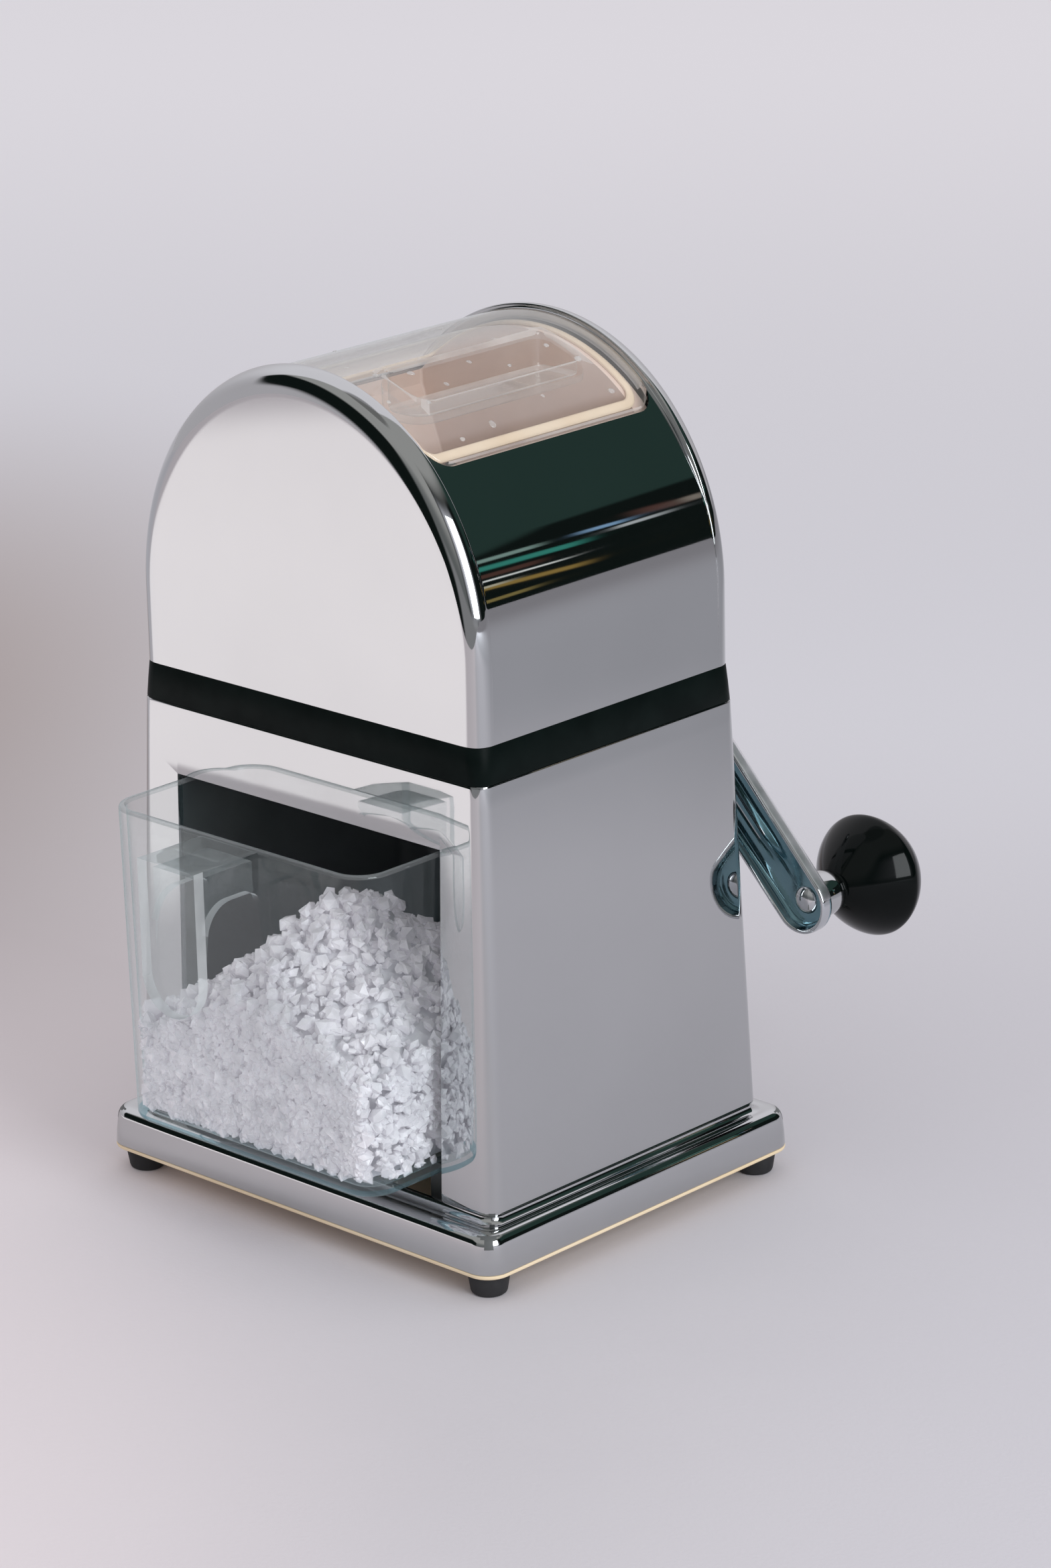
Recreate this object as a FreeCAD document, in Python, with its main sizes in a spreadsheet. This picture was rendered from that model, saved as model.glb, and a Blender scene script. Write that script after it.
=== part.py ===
import FreeCAD, Part
import Sketcher
import math
import os
import re

# Hand cranked ice shaver: a polished tapered lower housing on a coved plinth, a black trim band, a
# barrel shaped upper housing with a clear lid, a toothed rotor and fixed comb inside, a crank at the
# rear and a clear container with a hooked handle that slides out at the front.
# Frame: +Z up, container and opening face -Y, crank at +Y. All sizes in millimetres.

V = FreeCAD.Vector
doc = FreeCAD.newDocument("ice_shaver")

# ---------------------------------------------------------------- driving dimensions
sheet = doc.addObject("Spreadsheet::Sheet", "dims")
CELLS = [
    ("orgx", 11.1, "plan centre of the whole object, from the shaft plane"),
    ("orgy", 1.1, "plan centre of the whole object, from the rotor middle"),
    ("foot_height", 7.3, "underside of the base plate"),
    ("foot_rtop", 6.4, ""), ("foot_rbot", 5.4, ""),
    ("foot_px", 72.4, "foot and foot screw position"), ("foot_py", 58.9, ""),
    ("plinth_zlow", 9.5, "top of the base plate"),
    ("plinth_zmid", 19.4, ""), ("plinth_ztop", 20.6, ""),
    ("plinth_hx", 81.1, ""), ("plinth_hy", 67.6, ""),
    ("plinth_mx", 79.9, ""), ("plinth_my", 66.4, ""),
    ("plinth_tx", 78.7, ""), ("plinth_ty", 65.2, ""),
    ("plinth_rad", 7.5, "plan corner radius"),
    ("cove_bx", 76.4, "foot of the cove"), ("cove_by", 61.8, ""),
    ("body_zlow", 23.75, ""), ("body_lowx", 74.5, ""), ("body_lowy", 59.1, ""),
    ("body_ztop", 151.1, ""), ("body_topx", 70.1, ""), ("body_topy", 55.1, ""),
    ("body_rad", 4.0, "upright edge radius"),
    ("wall", 2.0, "housing wall"),
    ("band_ztop", 162.3, ""), ("band_topx", 69.75, ""), ("band_topy", 54.8, ""),
    ("band_wall", 4.0, ""),
    ("bay_hx", 54.3, "drawer opening half width"), ("bay_zlow", 22.5, ""), ("bay_ztop", 130.0, ""),
    ("runner_top", 29.6, "top of the drawer runners"),
    ("deck_thick", 3.5, ""), ("deck_hx", 65.5, ""), ("deck_hy", 50.5, ""),
    ("mouth_hx", 35.0, "opening under the rotor"), ("mouth_hy", 42.0, ""),
    ("barrel_z", 185.75, "height of the barrel axis"),
    ("barrel_rx", 69.9, "rim crest, half width"), ("barrel_rz", 76.25, "rim crest above the axis"),
    ("face_y", 54.4, "flat front and rear faces"), ("rim_y", 47.7, "inner edge of the two rims"),
    ("recess", 2.3, "rims stand this far above the barrel"),
    ("shell", 2.3, "upper housing wall"),
    ("lid_hx", 47.5, ""), ("lid_hy", 47.2, ""), ("lid_thick", 3.2, ""), ("lid_proud", 0.3, ""),
    ("lid_rad", 8.0, ""), ("lid_gap", 0.4, ""),
    ("hinge_x", 48.2, "lid hinge axis, towards -X"), ("hinge_z", 235.6, ""),
    ("knuckle_r", 2.4, ""), ("rod_r", 1.2, ""), ("rod_bore", 1.25, ""),
    ("pull_xlow", 13.5, "finger pull sunk into the lid"), ("pull_xhigh", 29.5, ""),
    ("pull_hy", 33.5, ""), ("pull_floor", 247.0, ""),
    ("axle_z", 176.0, "crank and rotor axis"), ("axle_r", 4.0, ""), ("axle_bore", 4.05, ""),
    ("rotor_r", 30.0, ""), ("blade_thick", 3.0, ""), ("blade_pitch", 16.0, ""), ("spacer_r", 8.0, ""),
    ("plate_y", 43.4, "inner face of the bearing plates"), ("plate_thick", 3.0, ""),
    ("chamber_hx", 36.0, "rotor chamber"), ("throat_z", 212.0, ""), ("funnel_z", 232.0, ""),
    ("funnel_hx", 43.5, ""), ("funnel_hy", 41.5, ""),
    ("tip_x", 84.45, "knob axis"), ("tip_z", 87.3, ""),
    ("arm_y", 65.5, "open side of the crank channel"), ("arm_depth", 5.0, ""), ("arm_web", 1.3, ""),
    ("arm_rhub", 10.6, ""), ("arm_rtip", 9.8, ""), ("arm_wall", 1.4, ""),
    ("knob_r", 18.95, ""), ("ferrule_r", 6.8, ""), ("spindle_r", 2.5, ""), ("spindle_bore", 2.55, ""),
    ("cont_zlow", 29.8, ""), ("cont_ztop", 128.6, ""), ("cont_hx", 53.3, ""), ("cont_front", 86.6, ""),
    ("cont_rear", 51.0, ""), ("cont_wall", 2.2, ""), ("cont_draft", 1.0, ""),
    ("grip_hx", 11.7, ""), ("grip_front", 111.6, ""), ("grip_low", 82.0, ""), ("grip_thick", 3.6, ""),
]
for i, (name, value, note) in enumerate(CELLS, 1):
    sheet.set("A%d" % i, name)
    sheet.set("B%d" % i, "%g" % value)
    sheet.setAlias("B%d" % i, name)
    if note:
        sheet.set("C%d" % i, note)
doc.recompute()
NAMES = sorted((c[0] for c in CELLS), key=len, reverse=True)
WORD = re.compile(r"\b(" + "|".join(NAMES) + r")\b")


def bind(text):
    """A dimension written with the sheet's names, as an expression."""
    return WORD.sub(r"dims.\1", str(text))


def val(text):
    """The number that a sum or product of cells and numbers has now."""
    total = 0.0
    for sign, term in re.findall(r"([+-]?)([^+-]+)", str(text).replace(" ", "")):
        product = 1.0
        for op, factor in re.findall(r"([*/]?)([^*/]+)", term):
            number = float(getattr(sheet, factor)) if factor[0].isalpha() else float(factor)
            product = product / number if op == "/" else product * number
        total += -product if sign == "-" else product
    return total


def at(obj, x, y, z):
    obj.setExpression("Placement.Base.x", bind("%s-orgx" % x))
    obj.setExpression("Placement.Base.y", bind("%s-orgy" % y))
    obj.setExpression("Placement.Base.z", bind(z))
    return obj


def box(name, x0, x1, y0, y1, z0, z1):
    o = doc.addObject("Part::Box", name)
    o.setExpression("Length", bind("(%s)-(%s)" % (x1, x0)))
    o.setExpression("Width", bind("(%s)-(%s)" % (y1, y0)))
    o.setExpression("Height", bind("(%s)-(%s)" % (z1, z0)))
    return at(o, x0, y0, z0)


ROUND = {"X": FreeCAD.Rotation(V(0, 1, 0), 90), "Y": FreeCAD.Rotation(V(1, 0, 0), -90), "Z": FreeCAD.Rotation()}


def cyl(name, axis, x, y, z, r, length):
    o = doc.addObject("Part::Cylinder", name)
    o.Placement = FreeCAD.Placement(V(0, 0, 0), ROUND[axis])
    o.setExpression("Radius", bind(r))
    o.setExpression("Height", bind(length))
    return at(o, x, y, z)


def cone(name, x, y, z, r_low, r_high, length):
    o = doc.addObject("Part::Cone", name)
    o.setExpression("Radius1", bind(r_low))
    o.setExpression("Radius2", bind(r_high))
    o.setExpression("Height", bind(length))
    return at(o, x, y, z)


def cut(name, base, *tools):
    tool = tools[0] if len(tools) == 1 else fuse(name + "_tools", *tools)
    o = doc.addObject("Part::Cut", name)
    o.Base, o.Tool = base, tool
    return o


def fuse(name, *parts):
    o = doc.addObject("Part::MultiFuse", name)
    o.Shapes = list(parts)
    return o


def common(name, *parts):
    o = doc.addObject("Part::MultiCommon", name)
    o.Shapes = list(parts)
    return o


def group(name, *parts):
    o = doc.addObject("Part::Compound", name)
    o.Links = list(parts)
    return o


def barrel(name, inset_x, inset_z, half_y):
    """The barrel's rounded top and upright flanks, run along Y, its surface inset from the rim crest."""
    e = doc.addObject("Part::Ellipse", name + "_curve")
    e.Placement = FreeCAD.Placement(V(0, 0, 0), FreeCAD.Rotation(V(0, 0, 1), V(1, 0, 0), V(0, 1, 0), "XYZ"))
    e.setExpression("MajorRadius", bind("barrel_rz-(%s)" % inset_z))
    e.setExpression("MinorRadius", bind("barrel_rx-(%s)" % inset_x))
    at(e, "0", "0-(%s)" % half_y, "barrel_z")
    x = doc.addObject("Part::Extrusion", name + "_run")
    x.Base, x.DirMode, x.Dir, x.Solid = e, "Custom", V(0, 1, 0), True
    x.setExpression("LengthFwd", bind("2*(%s)" % half_y))
    flank = box(name + "_flank", "0-(barrel_rx-(%s))" % inset_x, "barrel_rx-(%s)" % inset_x,
                "0-(%s)" % half_y, half_y, "band_ztop-20", "barrel_z")
    return fuse(name, x, flank)


def plan(hx, y0, y1, z, r_front, r_rear):
    """A rounded rectangle at height z, from -hx to hx and from y0 to y1."""
    ox, oy = val("orgx"), val("orgy")
    pts, arcs = [], []
    corners = [(hx, y0, r_front, -90), (hx, y1, r_rear, 0), (-hx, y1, r_rear, 90), (-hx, y0, r_front, 180)]
    edges, last, first = [], None, None
    for cx, cy, r, a0 in corners:
        mx, my = cx - math.copysign(r, cx), cy + (r if cy == y0 else -r)
        p = [V(mx + r * math.cos(math.radians(a0 + t)) - ox, my + r * math.sin(math.radians(a0 + t)) - oy, z)
             for t in (0, 45, 90)]
        if last is not None:
            edges.append(Part.LineSegment(last, p[0]).toShape())
        else:
            first = p[0]
        edges.append(Part.Arc(*p).toShape())
        last = p[2]
    edges.append(Part.LineSegment(last, first).toShape())
    return Part.Wire(edges)


def lofted(name, *sections):
    """Straight sided solid through plan sections (hx, y0, y1, z, r_front, r_rear)."""
    o = doc.addObject("Part::Feature", name)
    o.Shape = Part.makeLoft([plan(*s) for s in sections], True, True)
    return o


def square(hx, hy, z, r):
    return (hx, -hy, hy, z, r, r)


def turned(name, x, z, y0, verts):
    """A turned piece on an axis along Y through x, z: verts are (radius, y) round its half section."""
    body = doc.addObject("PartDesign::Body", name)
    sk = body.newObject("Sketcher::SketchObject", name + "_section")
    plane = [f for f in body.Origin.OriginFeatures if f.Role == "XY_Plane"][0]
    sk.AttachmentSupport = [(plane, "")]
    sk.MapMode = "FlatFace"
    pts = [(val(r), val(y) - val(y0)) for r, y in verts]
    n = len(pts)
    for i in range(n):
        (xa, ya), (xb, yb) = pts[i], pts[(i + 1) % n]
        sk.addGeometry(Part.LineSegment(V(xa, ya, 0), V(xb, yb, 0)), False)
    for i in range(n):
        sk.addConstraint(Sketcher.Constraint("Coincident", i, 2, (i + 1) % n, 1))
    for i, (r, y) in enumerate(verts):
        if abs(pts[i][0]) < 1e-9:
            sk.addConstraint(Sketcher.Constraint("PointOnObject", i, 1, -2))
        else:
            k = sk.addConstraint(Sketcher.Constraint("DistanceX", -1, 1, i, 1, pts[i][0]))
            sk.setExpression("Constraints[%d]" % k, bind(r))
        if abs(pts[i][1]) < 1e-9:
            sk.addConstraint(Sketcher.Constraint("PointOnObject", i, 1, -1))
        else:
            k = sk.addConstraint(Sketcher.Constraint("DistanceY", -1, 1, i, 1, pts[i][1]))
            sk.setExpression("Constraints[%d]" % k, bind("(%s)-(%s)" % (y, y0)))
    rev = body.newObject("PartDesign::Revolution", name + "_turn")
    rev.Profile = sk
    rev.ReferenceAxis = (sk, ["V_Axis"])
    rev.Angle = 360.0
    body.Tip = rev
    return at(body, x, y0, z)


FOUR = [(1, -1), (1, 1), (-1, 1), (-1, -1)]


def signed(sign, text):
    return text if sign > 0 else "0-(%s)" % text


PARTS = {}


def node(name, obj):
    obj.Label = name
    PARTS[name] = obj
    return obj


# ---------------------------------------------------------------- lower housing
w = val("wall")
outer = fuse("lower_outer",
             lofted("plinth_outer",
                    square(val("plinth_hx"), val("plinth_hy"), val("plinth_zlow"), val("plinth_rad")),
                    square(val("plinth_mx"), val("plinth_my"), val("plinth_zmid"), val("plinth_rad") - 0.6),
                    square(val("plinth_tx"), val("plinth_ty"), val("plinth_ztop"), val("plinth_rad") - 1.4)),
             lofted("cove_outer",
                    square(val("cove_bx"), val("cove_by"), val("plinth_ztop"), val("body_rad") + 1),
                    square(val("body_lowx"), val("body_lowy"), val("body_zlow"), val("body_rad"))),
             lofted("walls_outer",
                    square(val("body_lowx"), val("body_lowy"), val("body_zlow"), val("body_rad")),
                    square(val("body_topx"), val("body_topy"), val("body_ztop"), val("body_rad"))))
inner = fuse("lower_inner",
             lofted("plinth_inner",
                    square(val("plinth_hx") - w, val("plinth_hy") - w, val("plinth_zlow") - 1, val("plinth_rad") - w),
                    square(val("plinth_mx") - w, val("plinth_my") - w, val("plinth_zmid") - 1, val("plinth_rad") - w)),
             lofted("walls_inner",
                    square(val("body_lowx") - w, val("body_lowy") - w, val("plinth_zmid") - 2, val("body_rad") - w + 0.5),
                    square(val("body_lowx") - w, val("body_lowy") - w, val("body_zlow"), val("body_rad") - w + 0.5),
                    square(val("body_topx") - w, val("body_topy") - w, val("body_ztop") + 0.01, val("body_rad") - w + 0.5)))
hollow = cut("lower_hollow", outer, inner)
# four posts that take the foot screws, and four corner blocks under the deck
posts = [cyl("post_%d" % i, "Z", signed(sx, "foot_px"), signed(sy, "foot_py"), "plinth_zlow", "4.4", "plinth_zmid-plinth_zlow+0.5")
         for i, (sx, sy) in enumerate(FOUR)]
blocks = []
for i, (sx, sy) in enumerate(FOUR):
    x0, x1 = ("58", "body_topx") if sx > 0 else ("0-body_topx", "0-58")
    y0, y1 = ("44", "body_topy") if sy > 0 else ("0-body_topy", "0-44")
    blocks.append(box("block_%d" % i, x0, x1, y0, y1, "136", "body_ztop"))
blocks_in = common("corner_blocks", fuse("blocks_all", *blocks), outer)
lower_solid = fuse("lower_solid", hollow, blocks_in, *posts)
bay = box("bay_cut", "0-bay_hx", "bay_hx", "0-body_lowy-20", "0-body_topy+8", "bay_zlow", "bay_ztop")
pilots = [cyl("pilot_%d" % i, "Z", signed(sx, "foot_px"), signed(sy, "foot_py"), "plinth_zlow-1", "1.55", "9")
          for i, (sx, sy) in enumerate(FOUR)]
pilots += [cyl("deck_pilot_%d" % i, "Z", signed(sx, "62.5"), signed(sy, "47.5"), "body_ztop-11", "1.55", "12")
           for i, (sx, sy) in enumerate(FOUR)]
lower_housing = node("lower_housing", cut("lower_housing_cut", lower_solid, bay, *pilots))

# ---------------------------------------------------------------- base plate, feet and their screws
plate = lofted("base_blank",
               square(val("plinth_hx"), val("plinth_hy"), val("foot_height"), val("plinth_rad")),
               square(val("plinth_hx"), val("plinth_hy"), val("plinth_zlow"), val("plinth_rad")))
node("base_plate", cut("base_plate_cut", plate,
                       *[cyl("base_hole_%d" % i, "Z", signed(sx, "foot_px"), signed(sy, "foot_py"), "foot_height-1", "1.7", "5")
                         for i, (sx, sy) in enumerate(FOUR)]))
feet, foot_screws = [], []
for i, (sx, sy) in enumerate(FOUR):
    px, py = signed(sx, "foot_px"), signed(sy, "foot_py")
    blank = fuse("foot_blank_%d" % i, cone("foot_cone_%d" % i, px, py, "1", "foot_rbot", "foot_rtop", "foot_height-1"),
                 cone("foot_toe_%d" % i, px, py, "0", "foot_rbot-0.8", "foot_rbot", "1"))
    feet.append(cut("foot_%d" % i, blank, cyl("foot_well_%d" % i, "Z", px, py, "0-1", "3.2", "4.6"),
                    cyl("foot_bore_%d" % i, "Z", px, py, "0", "1.7", "foot_height+1")))
    foot_screws.append(fuse("foot_screw_%d" % i, cyl("foot_head_%d" % i, "Z", px, py, "1.8", "3.0", "1.8"),
                            cyl("foot_shank_%d" % i, "Z", px, py, "3.6", "1.5", "13.6")))
node("rubber_feet", group("feet_group", *feet))
node("foot_screws", group("foot_screw_group", *foot_screws))

# ---------------------------------------------------------------- drawer runners
runners = []
for s in (-1, 1):
    x0, x1 = ("41", "50.5") if s > 0 else ("0-50.5", "0-41")
    rail = box("runner_%s" % ("r" if s > 0 else "l"), x0, x1, "0-50", "50", "plinth_zlow", "runner_top")

    runners.append(rail)
node("drawer_runners", group("runner_group", *runners))

# ---------------------------------------------------------------- trim band, deck and screws
bw = val("band_wall")
band_out = lofted("band_outer",
                  square(val("body_topx"), val("body_topy"), val("body_ztop"), val("body_rad")),
                  square(val("band_topx"), val("band_topy"), val("band_ztop"), val("body_rad")))
band_in = lofted("band_inner",
                 square(val("body_topx") - bw, val("body_topy") - bw, val("body_ztop") - 1, 1.5),
                 square(val("band_topx") - bw, val("band_topy") - bw, val("band_ztop") + 1, 1.5))
node("trim_band", cut("trim_band_cut", band_out, band_in))
deck = box("deck_blank", "0-deck_hx", "deck_hx", "0-deck_hy", "deck_hy", "body_ztop", "body_ztop+deck_thick")
deck_holes = [cyl("deck_hole_%d" % i, "Z", signed(sx, "62.5"), signed(sy, "47.5"), "body_ztop-1", "1.7", "6")
              for i, (sx, sy) in enumerate(FOUR)]
deck_holes += [cyl("case_hole_%d" % i, "Z", signed(sx, "60.5"), signed(sy, "24"), "body_ztop-1", "1.7", "6")
               for i, (sx, sy) in enumerate(FOUR)]
deck_holes += [cyl("frame_hole_%d" % i, "Z", signed(sx, "28"), signed(sy, "48.5"), "body_ztop-1", "1.05", "6")
               for i, (sx, sy) in enumerate(FOUR)]
node("mechanism_deck", cut("deck_cut", deck,
                           box("deck_mouth", "0-mouth_hx", "mouth_hx", "0-mouth_hy", "mouth_hy", "body_ztop-1", "body_ztop+6"),
                           *deck_holes))
deck_screws, case_screws, frame_screws = [], [], []
for i, (sx, sy) in enumerate(FOUR):
    px, py = signed(sx, "62.5"), signed(sy, "47.5")
    deck_screws.append(fuse("deck_screw_%d" % i,
                            cyl("deck_head_%d" % i, "Z", px, py, "body_ztop+deck_thick", "2.6", "1.8"),
                            cyl("deck_shank_%d" % i, "Z", px, py, "body_ztop-9.5", "1.5", "9.5+deck_thick")))
    px, py = signed(sx, "60.5"), signed(sy, "24")
    case_screws.append(fuse("case_screw_%d" % i,
                            cyl("case_head_%d" % i, "Z", px, py, "body_ztop-1.8", "2.8", "1.8"),
                            cyl("case_shank_%d" % i, "Z", px, py, "body_ztop", "1.5", "19.5")))
    px, py = signed(sx, "28"), signed(sy, "48.5")
    frame_screws.append(fuse("frame_screw_%d" % i,
                             cyl("frame_head_%d" % i, "Z", px, py, "body_ztop+deck_thick+2.6", "1.8", "1.4"),
                             cyl("frame_shank_%d" % i, "Z", px, py, "body_ztop+0.3", "1.0", "deck_thick+2.3")))
node("deck_screws", group("deck_screw_group", *deck_screws))
node("case_screws", group("case_screw_group", *case_screws))
node("frame_screws", group("frame_screw_group", *frame_screws))

# ---------------------------------------------------------------- upper housing
case_full = barrel("case_full", "0", "0", "face_y")
trim = box("case_trim", "0-80", "80", "0-60", "60", "band_ztop", "270")
case_block = common("case_block", case_full, trim)
inset_top = barrel("inset_top", "recess", "recess", "rim_y")
inset_keep = common("inset_keep", inset_top, box("inset_trim", "0-80", "80", "0-60", "60", "band_ztop+2.2", "270"))
inset_zone = cut("inset_zone", box("inset_zone_box", "0-80", "80", "0-rim_y", "rim_y", "band_ztop+2.2", "270"), inset_keep)
case_skin = cut("case_skin", case_block, inset_zone)
cavity = barrel("cavity", "recess+shell", "recess+shell", "face_y-2.3")
case_hollow = cut("case_hollow", case_skin, cavity)
case_posts = common("case_posts", fuse("case_posts_all", *[
    box("case_post_%d" % i, "56.5" if sx > 0 else "0-65.5", "65.5" if sx > 0 else "0-56.5",
        "20" if sy > 0 else "0-28", "28" if sy > 0 else "0-20", "body_ztop+deck_thick", "182") for i, (sx, sy) in enumerate(FOUR)]),
    barrel("case_post_limit", "recess+1", "recess+1", "rim_y"))
ears = [cyl("hinge_ear_%d" % i, "Y", "0-hinge_x", y, "hinge_z", "3.1", "4.4")
        for i, y in enumerate(("rim_y", "0-rim_y-4.4"))]
case_solid = fuse("case_solid", case_hollow, case_posts, *ears)
window = lofted("window_cut",
                square(val("lid_hx") + val("lid_gap"), val("rim_y"), 225.0, val("lid_rad") + 0.3),
                square(val("lid_hx") + val("lid_gap"), val("rim_y"), 275.0, val("lid_rad") + 0.3))
case_tools = [window,
              cyl("knuckle_room", "Y", "0-hinge_x", "0-rim_y", "hinge_z", "knuckle_r+0.5", "2*rim_y"),
              box("knuckle_way", "0-hinge_x-knuckle_r-0.5", "0-hinge_x+10", "0-rim_y", "rim_y", "hinge_z", "hinge_z+12"),
              cyl("rod_hole", "Y", "0-hinge_x", "0-rim_y-3.4", "hinge_z", "rod_r", "2*rim_y+6.8"),
              cyl("axle_hole", "Y", "0", "40", "axle_z", "6.2", "30")]
case_tools += [cyl("case_pilot_%d" % i, "Z", signed(sx, "60.5"), signed(sy, "24"), "150", "1.55", "22")
               for i, (sx, sy) in enumerate(FOUR)]
node("upper_housing", cut("upper_housing_cut", case_solid, *case_tools))

# ---------------------------------------------------------------- hopper, gasket
hopper_env = fuse("hopper_env",
                  lofted("hopper_low",
                         square(val("chamber_hx") + 2, val("funnel_hy") + 1.6, val("body_ztop") + val("deck_thick") + 0.1, 0.8),
                         square(val("chamber_hx") + 2, val("funnel_hy") + 1.6, val("throat_z"), 0.8)),
                  lofted("hopper_cone",
                         square(val("chamber_hx") + 2, val("funnel_hy") + 1.6, val("throat_z"), 0.8),
                         square(val("funnel_hx") + 1.8, val("funnel_hy") + 1.6, val("funnel_z"), 0.8),
                         square(val("funnel_hx") + 1.8, val("funnel_hy") + 1.6, 262.0, 0.8)))
hopper_lim = barrel("hopper_lim", "recess+4.2", "recess+4.2", "rim_y-0.6")
hopper_out = common("hopper_out", hopper_env, hopper_lim)
flange_ring = cut("flange_ring", hopper_lim, barrel("flange_under", "recess+6.0", "recess+6.0", "rim_y"))
flange = common("hopper_flange", flange_ring,
                lofted("flange_plan", square(52.0, 46.9, 228.0, 6.0), square(52.0, 46.9, 270.0, 6.0)))
hopper_in = fuse("hopper_in",
                 lofted("chamber_in",
                        square(val("chamber_hx"), val("funnel_hy"), 150.0, 0.8),
                        square(val("chamber_hx"), val("funnel_hy"), val("throat_z") + 0.01, 0.8)),
                 lofted("funnel_in",
                        square(val("chamber_hx"), val("funnel_hy"), val("throat_z"), 0.8),
                        square(val("funnel_hx"), val("funnel_hy"), val("funnel_z"), 0.8),
                        square(val("funnel_hx"), val("funnel_hy"), 272.0, 0.8)),
                 box("chamber_end_a", "0-chamber_hx", "chamber_hx", "funnel_hy-0.5", "funnel_hy+4", "140", "209"),
                 box("chamber_end_b", "0-chamber_hx", "chamber_hx", "0-funnel_hy-4", "0-funnel_hy+0.5", "140", "209"))
node("hopper", cut("hopper_cut", fuse("hopper_solid", hopper_out, flange), hopper_in))
gasket_ring = cut("gasket_ring", barrel("gasket_top", "recess+2.95", "recess+2.95", "rim_y-0.8"),
                  barrel("gasket_under", "recess+4.15", "recess+4.15", "rim_y"))
gasket_plan = lofted("gasket_plan", square(46.7, 46.4, 226.0, 7.4), square(46.7, 46.4, 270.0, 7.4))
node("window_gasket", common("gasket_common", gasket_ring, cut("gasket_zone", gasket_plan,
     lofted("gasket_hole", square(43.3, 42.3, 220.0, 5.0), square(43.3, 42.3, 272.0, 5.0)),
     box("gasket_left", "0-60", "0-44.4", "0-60", "60", "220", "272"))))

# ---------------------------------------------------------------- lid and its hinge rod
lid_ring = cut("lid_ring", barrel("lid_top", "recess-lid_proud", "recess-lid_proud", "lid_hy"),
               barrel("lid_under", "recess-lid_proud+lid_thick", "recess-lid_proud+lid_thick", "rim_y"))
lid_plan = lofted("lid_plan", square(val("lid_hx"), val("lid_hy"), 225.0, val("lid_rad")),
                  square(val("lid_hx"), val("lid_hy"), 270.0, val("lid_rad")))
# square corners on the hinge side, so that they clear the housing as the lid turns
lid_sheet = common("lid_sheet", lid_ring, fuse("lid_plan_hinged", lid_plan,
                   box("lid_hinge_side", "0-lid_hx", "0-hinge_x+9.5", "0-lid_hy", "lid_hy", "225", "270")))
pull_tub = common("pull_tub", box("pull_tub_box", "pull_xlow-1.8", "pull_xhigh+1.8", "0-pull_hy-1.8", "pull_hy+1.8", "pull_floor-1.8", "270"),
                  barrel("pull_limit", "recess-lid_proud+0.5", "recess-lid_proud+0.5", "lid_hy"))
knuckle = cyl("lid_knuckle", "Y", "0-hinge_x", "0-lid_hy", "hinge_z", "knuckle_r", "2*lid_hy")
node("lid", cut("lid_cut", fuse("lid_solid", lid_sheet, pull_tub, knuckle),
                box("pull_cut", "pull_xlow", "pull_xhigh", "0-pull_hy", "pull_hy", "pull_floor", "275"),
                cyl("knuckle_bore", "Y", "0-hinge_x", "0-60", "hinge_z", "rod_bore", "120")))
node("lid_hinge_rod", turned("hinge_rod", "0-hinge_x", "hinge_z", "0-rim_y-3.2",
                             [("0", "0-rim_y-3.2"), ("rod_r-0.2", "0-rim_y-3.2"), ("rod_r", "0-rim_y-3.0"),
                              ("rod_r", "rim_y+3.0"), ("rod_r-0.2", "rim_y+3.2"), ("0", "rim_y+3.2")]))

# ---------------------------------------------------------------- bearing plates, bushes, comb
plates = {}
for name, s in (("front_bearing_plate", -1), ("rear_bearing_plate", 1)):
    def yy(a, b, s=s):
        return (a, b) if s > 0 else ("0-(%s)" % b, "0-(%s)" % a)
    up = box(name + "_web", "0-38", "38", *yy("plate_y", "plate_y+plate_thick"), "body_ztop+deck_thick", "207")
    foot = box(name + "_foot", "0-38", "38", *yy("plate_y+plate_thick", "plate_y+plate_thick+3.9"), "body_ztop+deck_thick", "body_ztop+deck_thick+2.6")
    y0 = "plate_y-1" if s > 0 else "0-plate_y-plate_thick-1"
    holes = [cyl(name + "_axle", "Y", "0", y0, "axle_z", "7.0", "plate_thick+2")]
    holes += [cyl(name + "_bar_%d" % k, "Y", bx_, y0, bz_, "3.0", "plate_thick+2") for k, (bx_, bz_) in enumerate((("30", "196"), ("32", "162")))]
    holes += [cyl(name + "_screw_%d" % k, "Z", px, "48.5" if s > 0 else "0-48.5", "150", "1.15", "12") for k, px in enumerate(("28", "0-28"))]
    plates[name] = node(name, cut(name + "_cut", fuse(name + "_blank", up, foot), *holes))
node("comb_bars", group("comb_bar_group", *[
    cyl("comb_bar_%d" % k, "Y", bx_, "0-plate_y-plate_thick", bz_, "3.0", "2*plate_y+2*plate_thick")
    for k, (bx_, bz_) in enumerate((("30", "196"), ("32", "162")))]))


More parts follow.
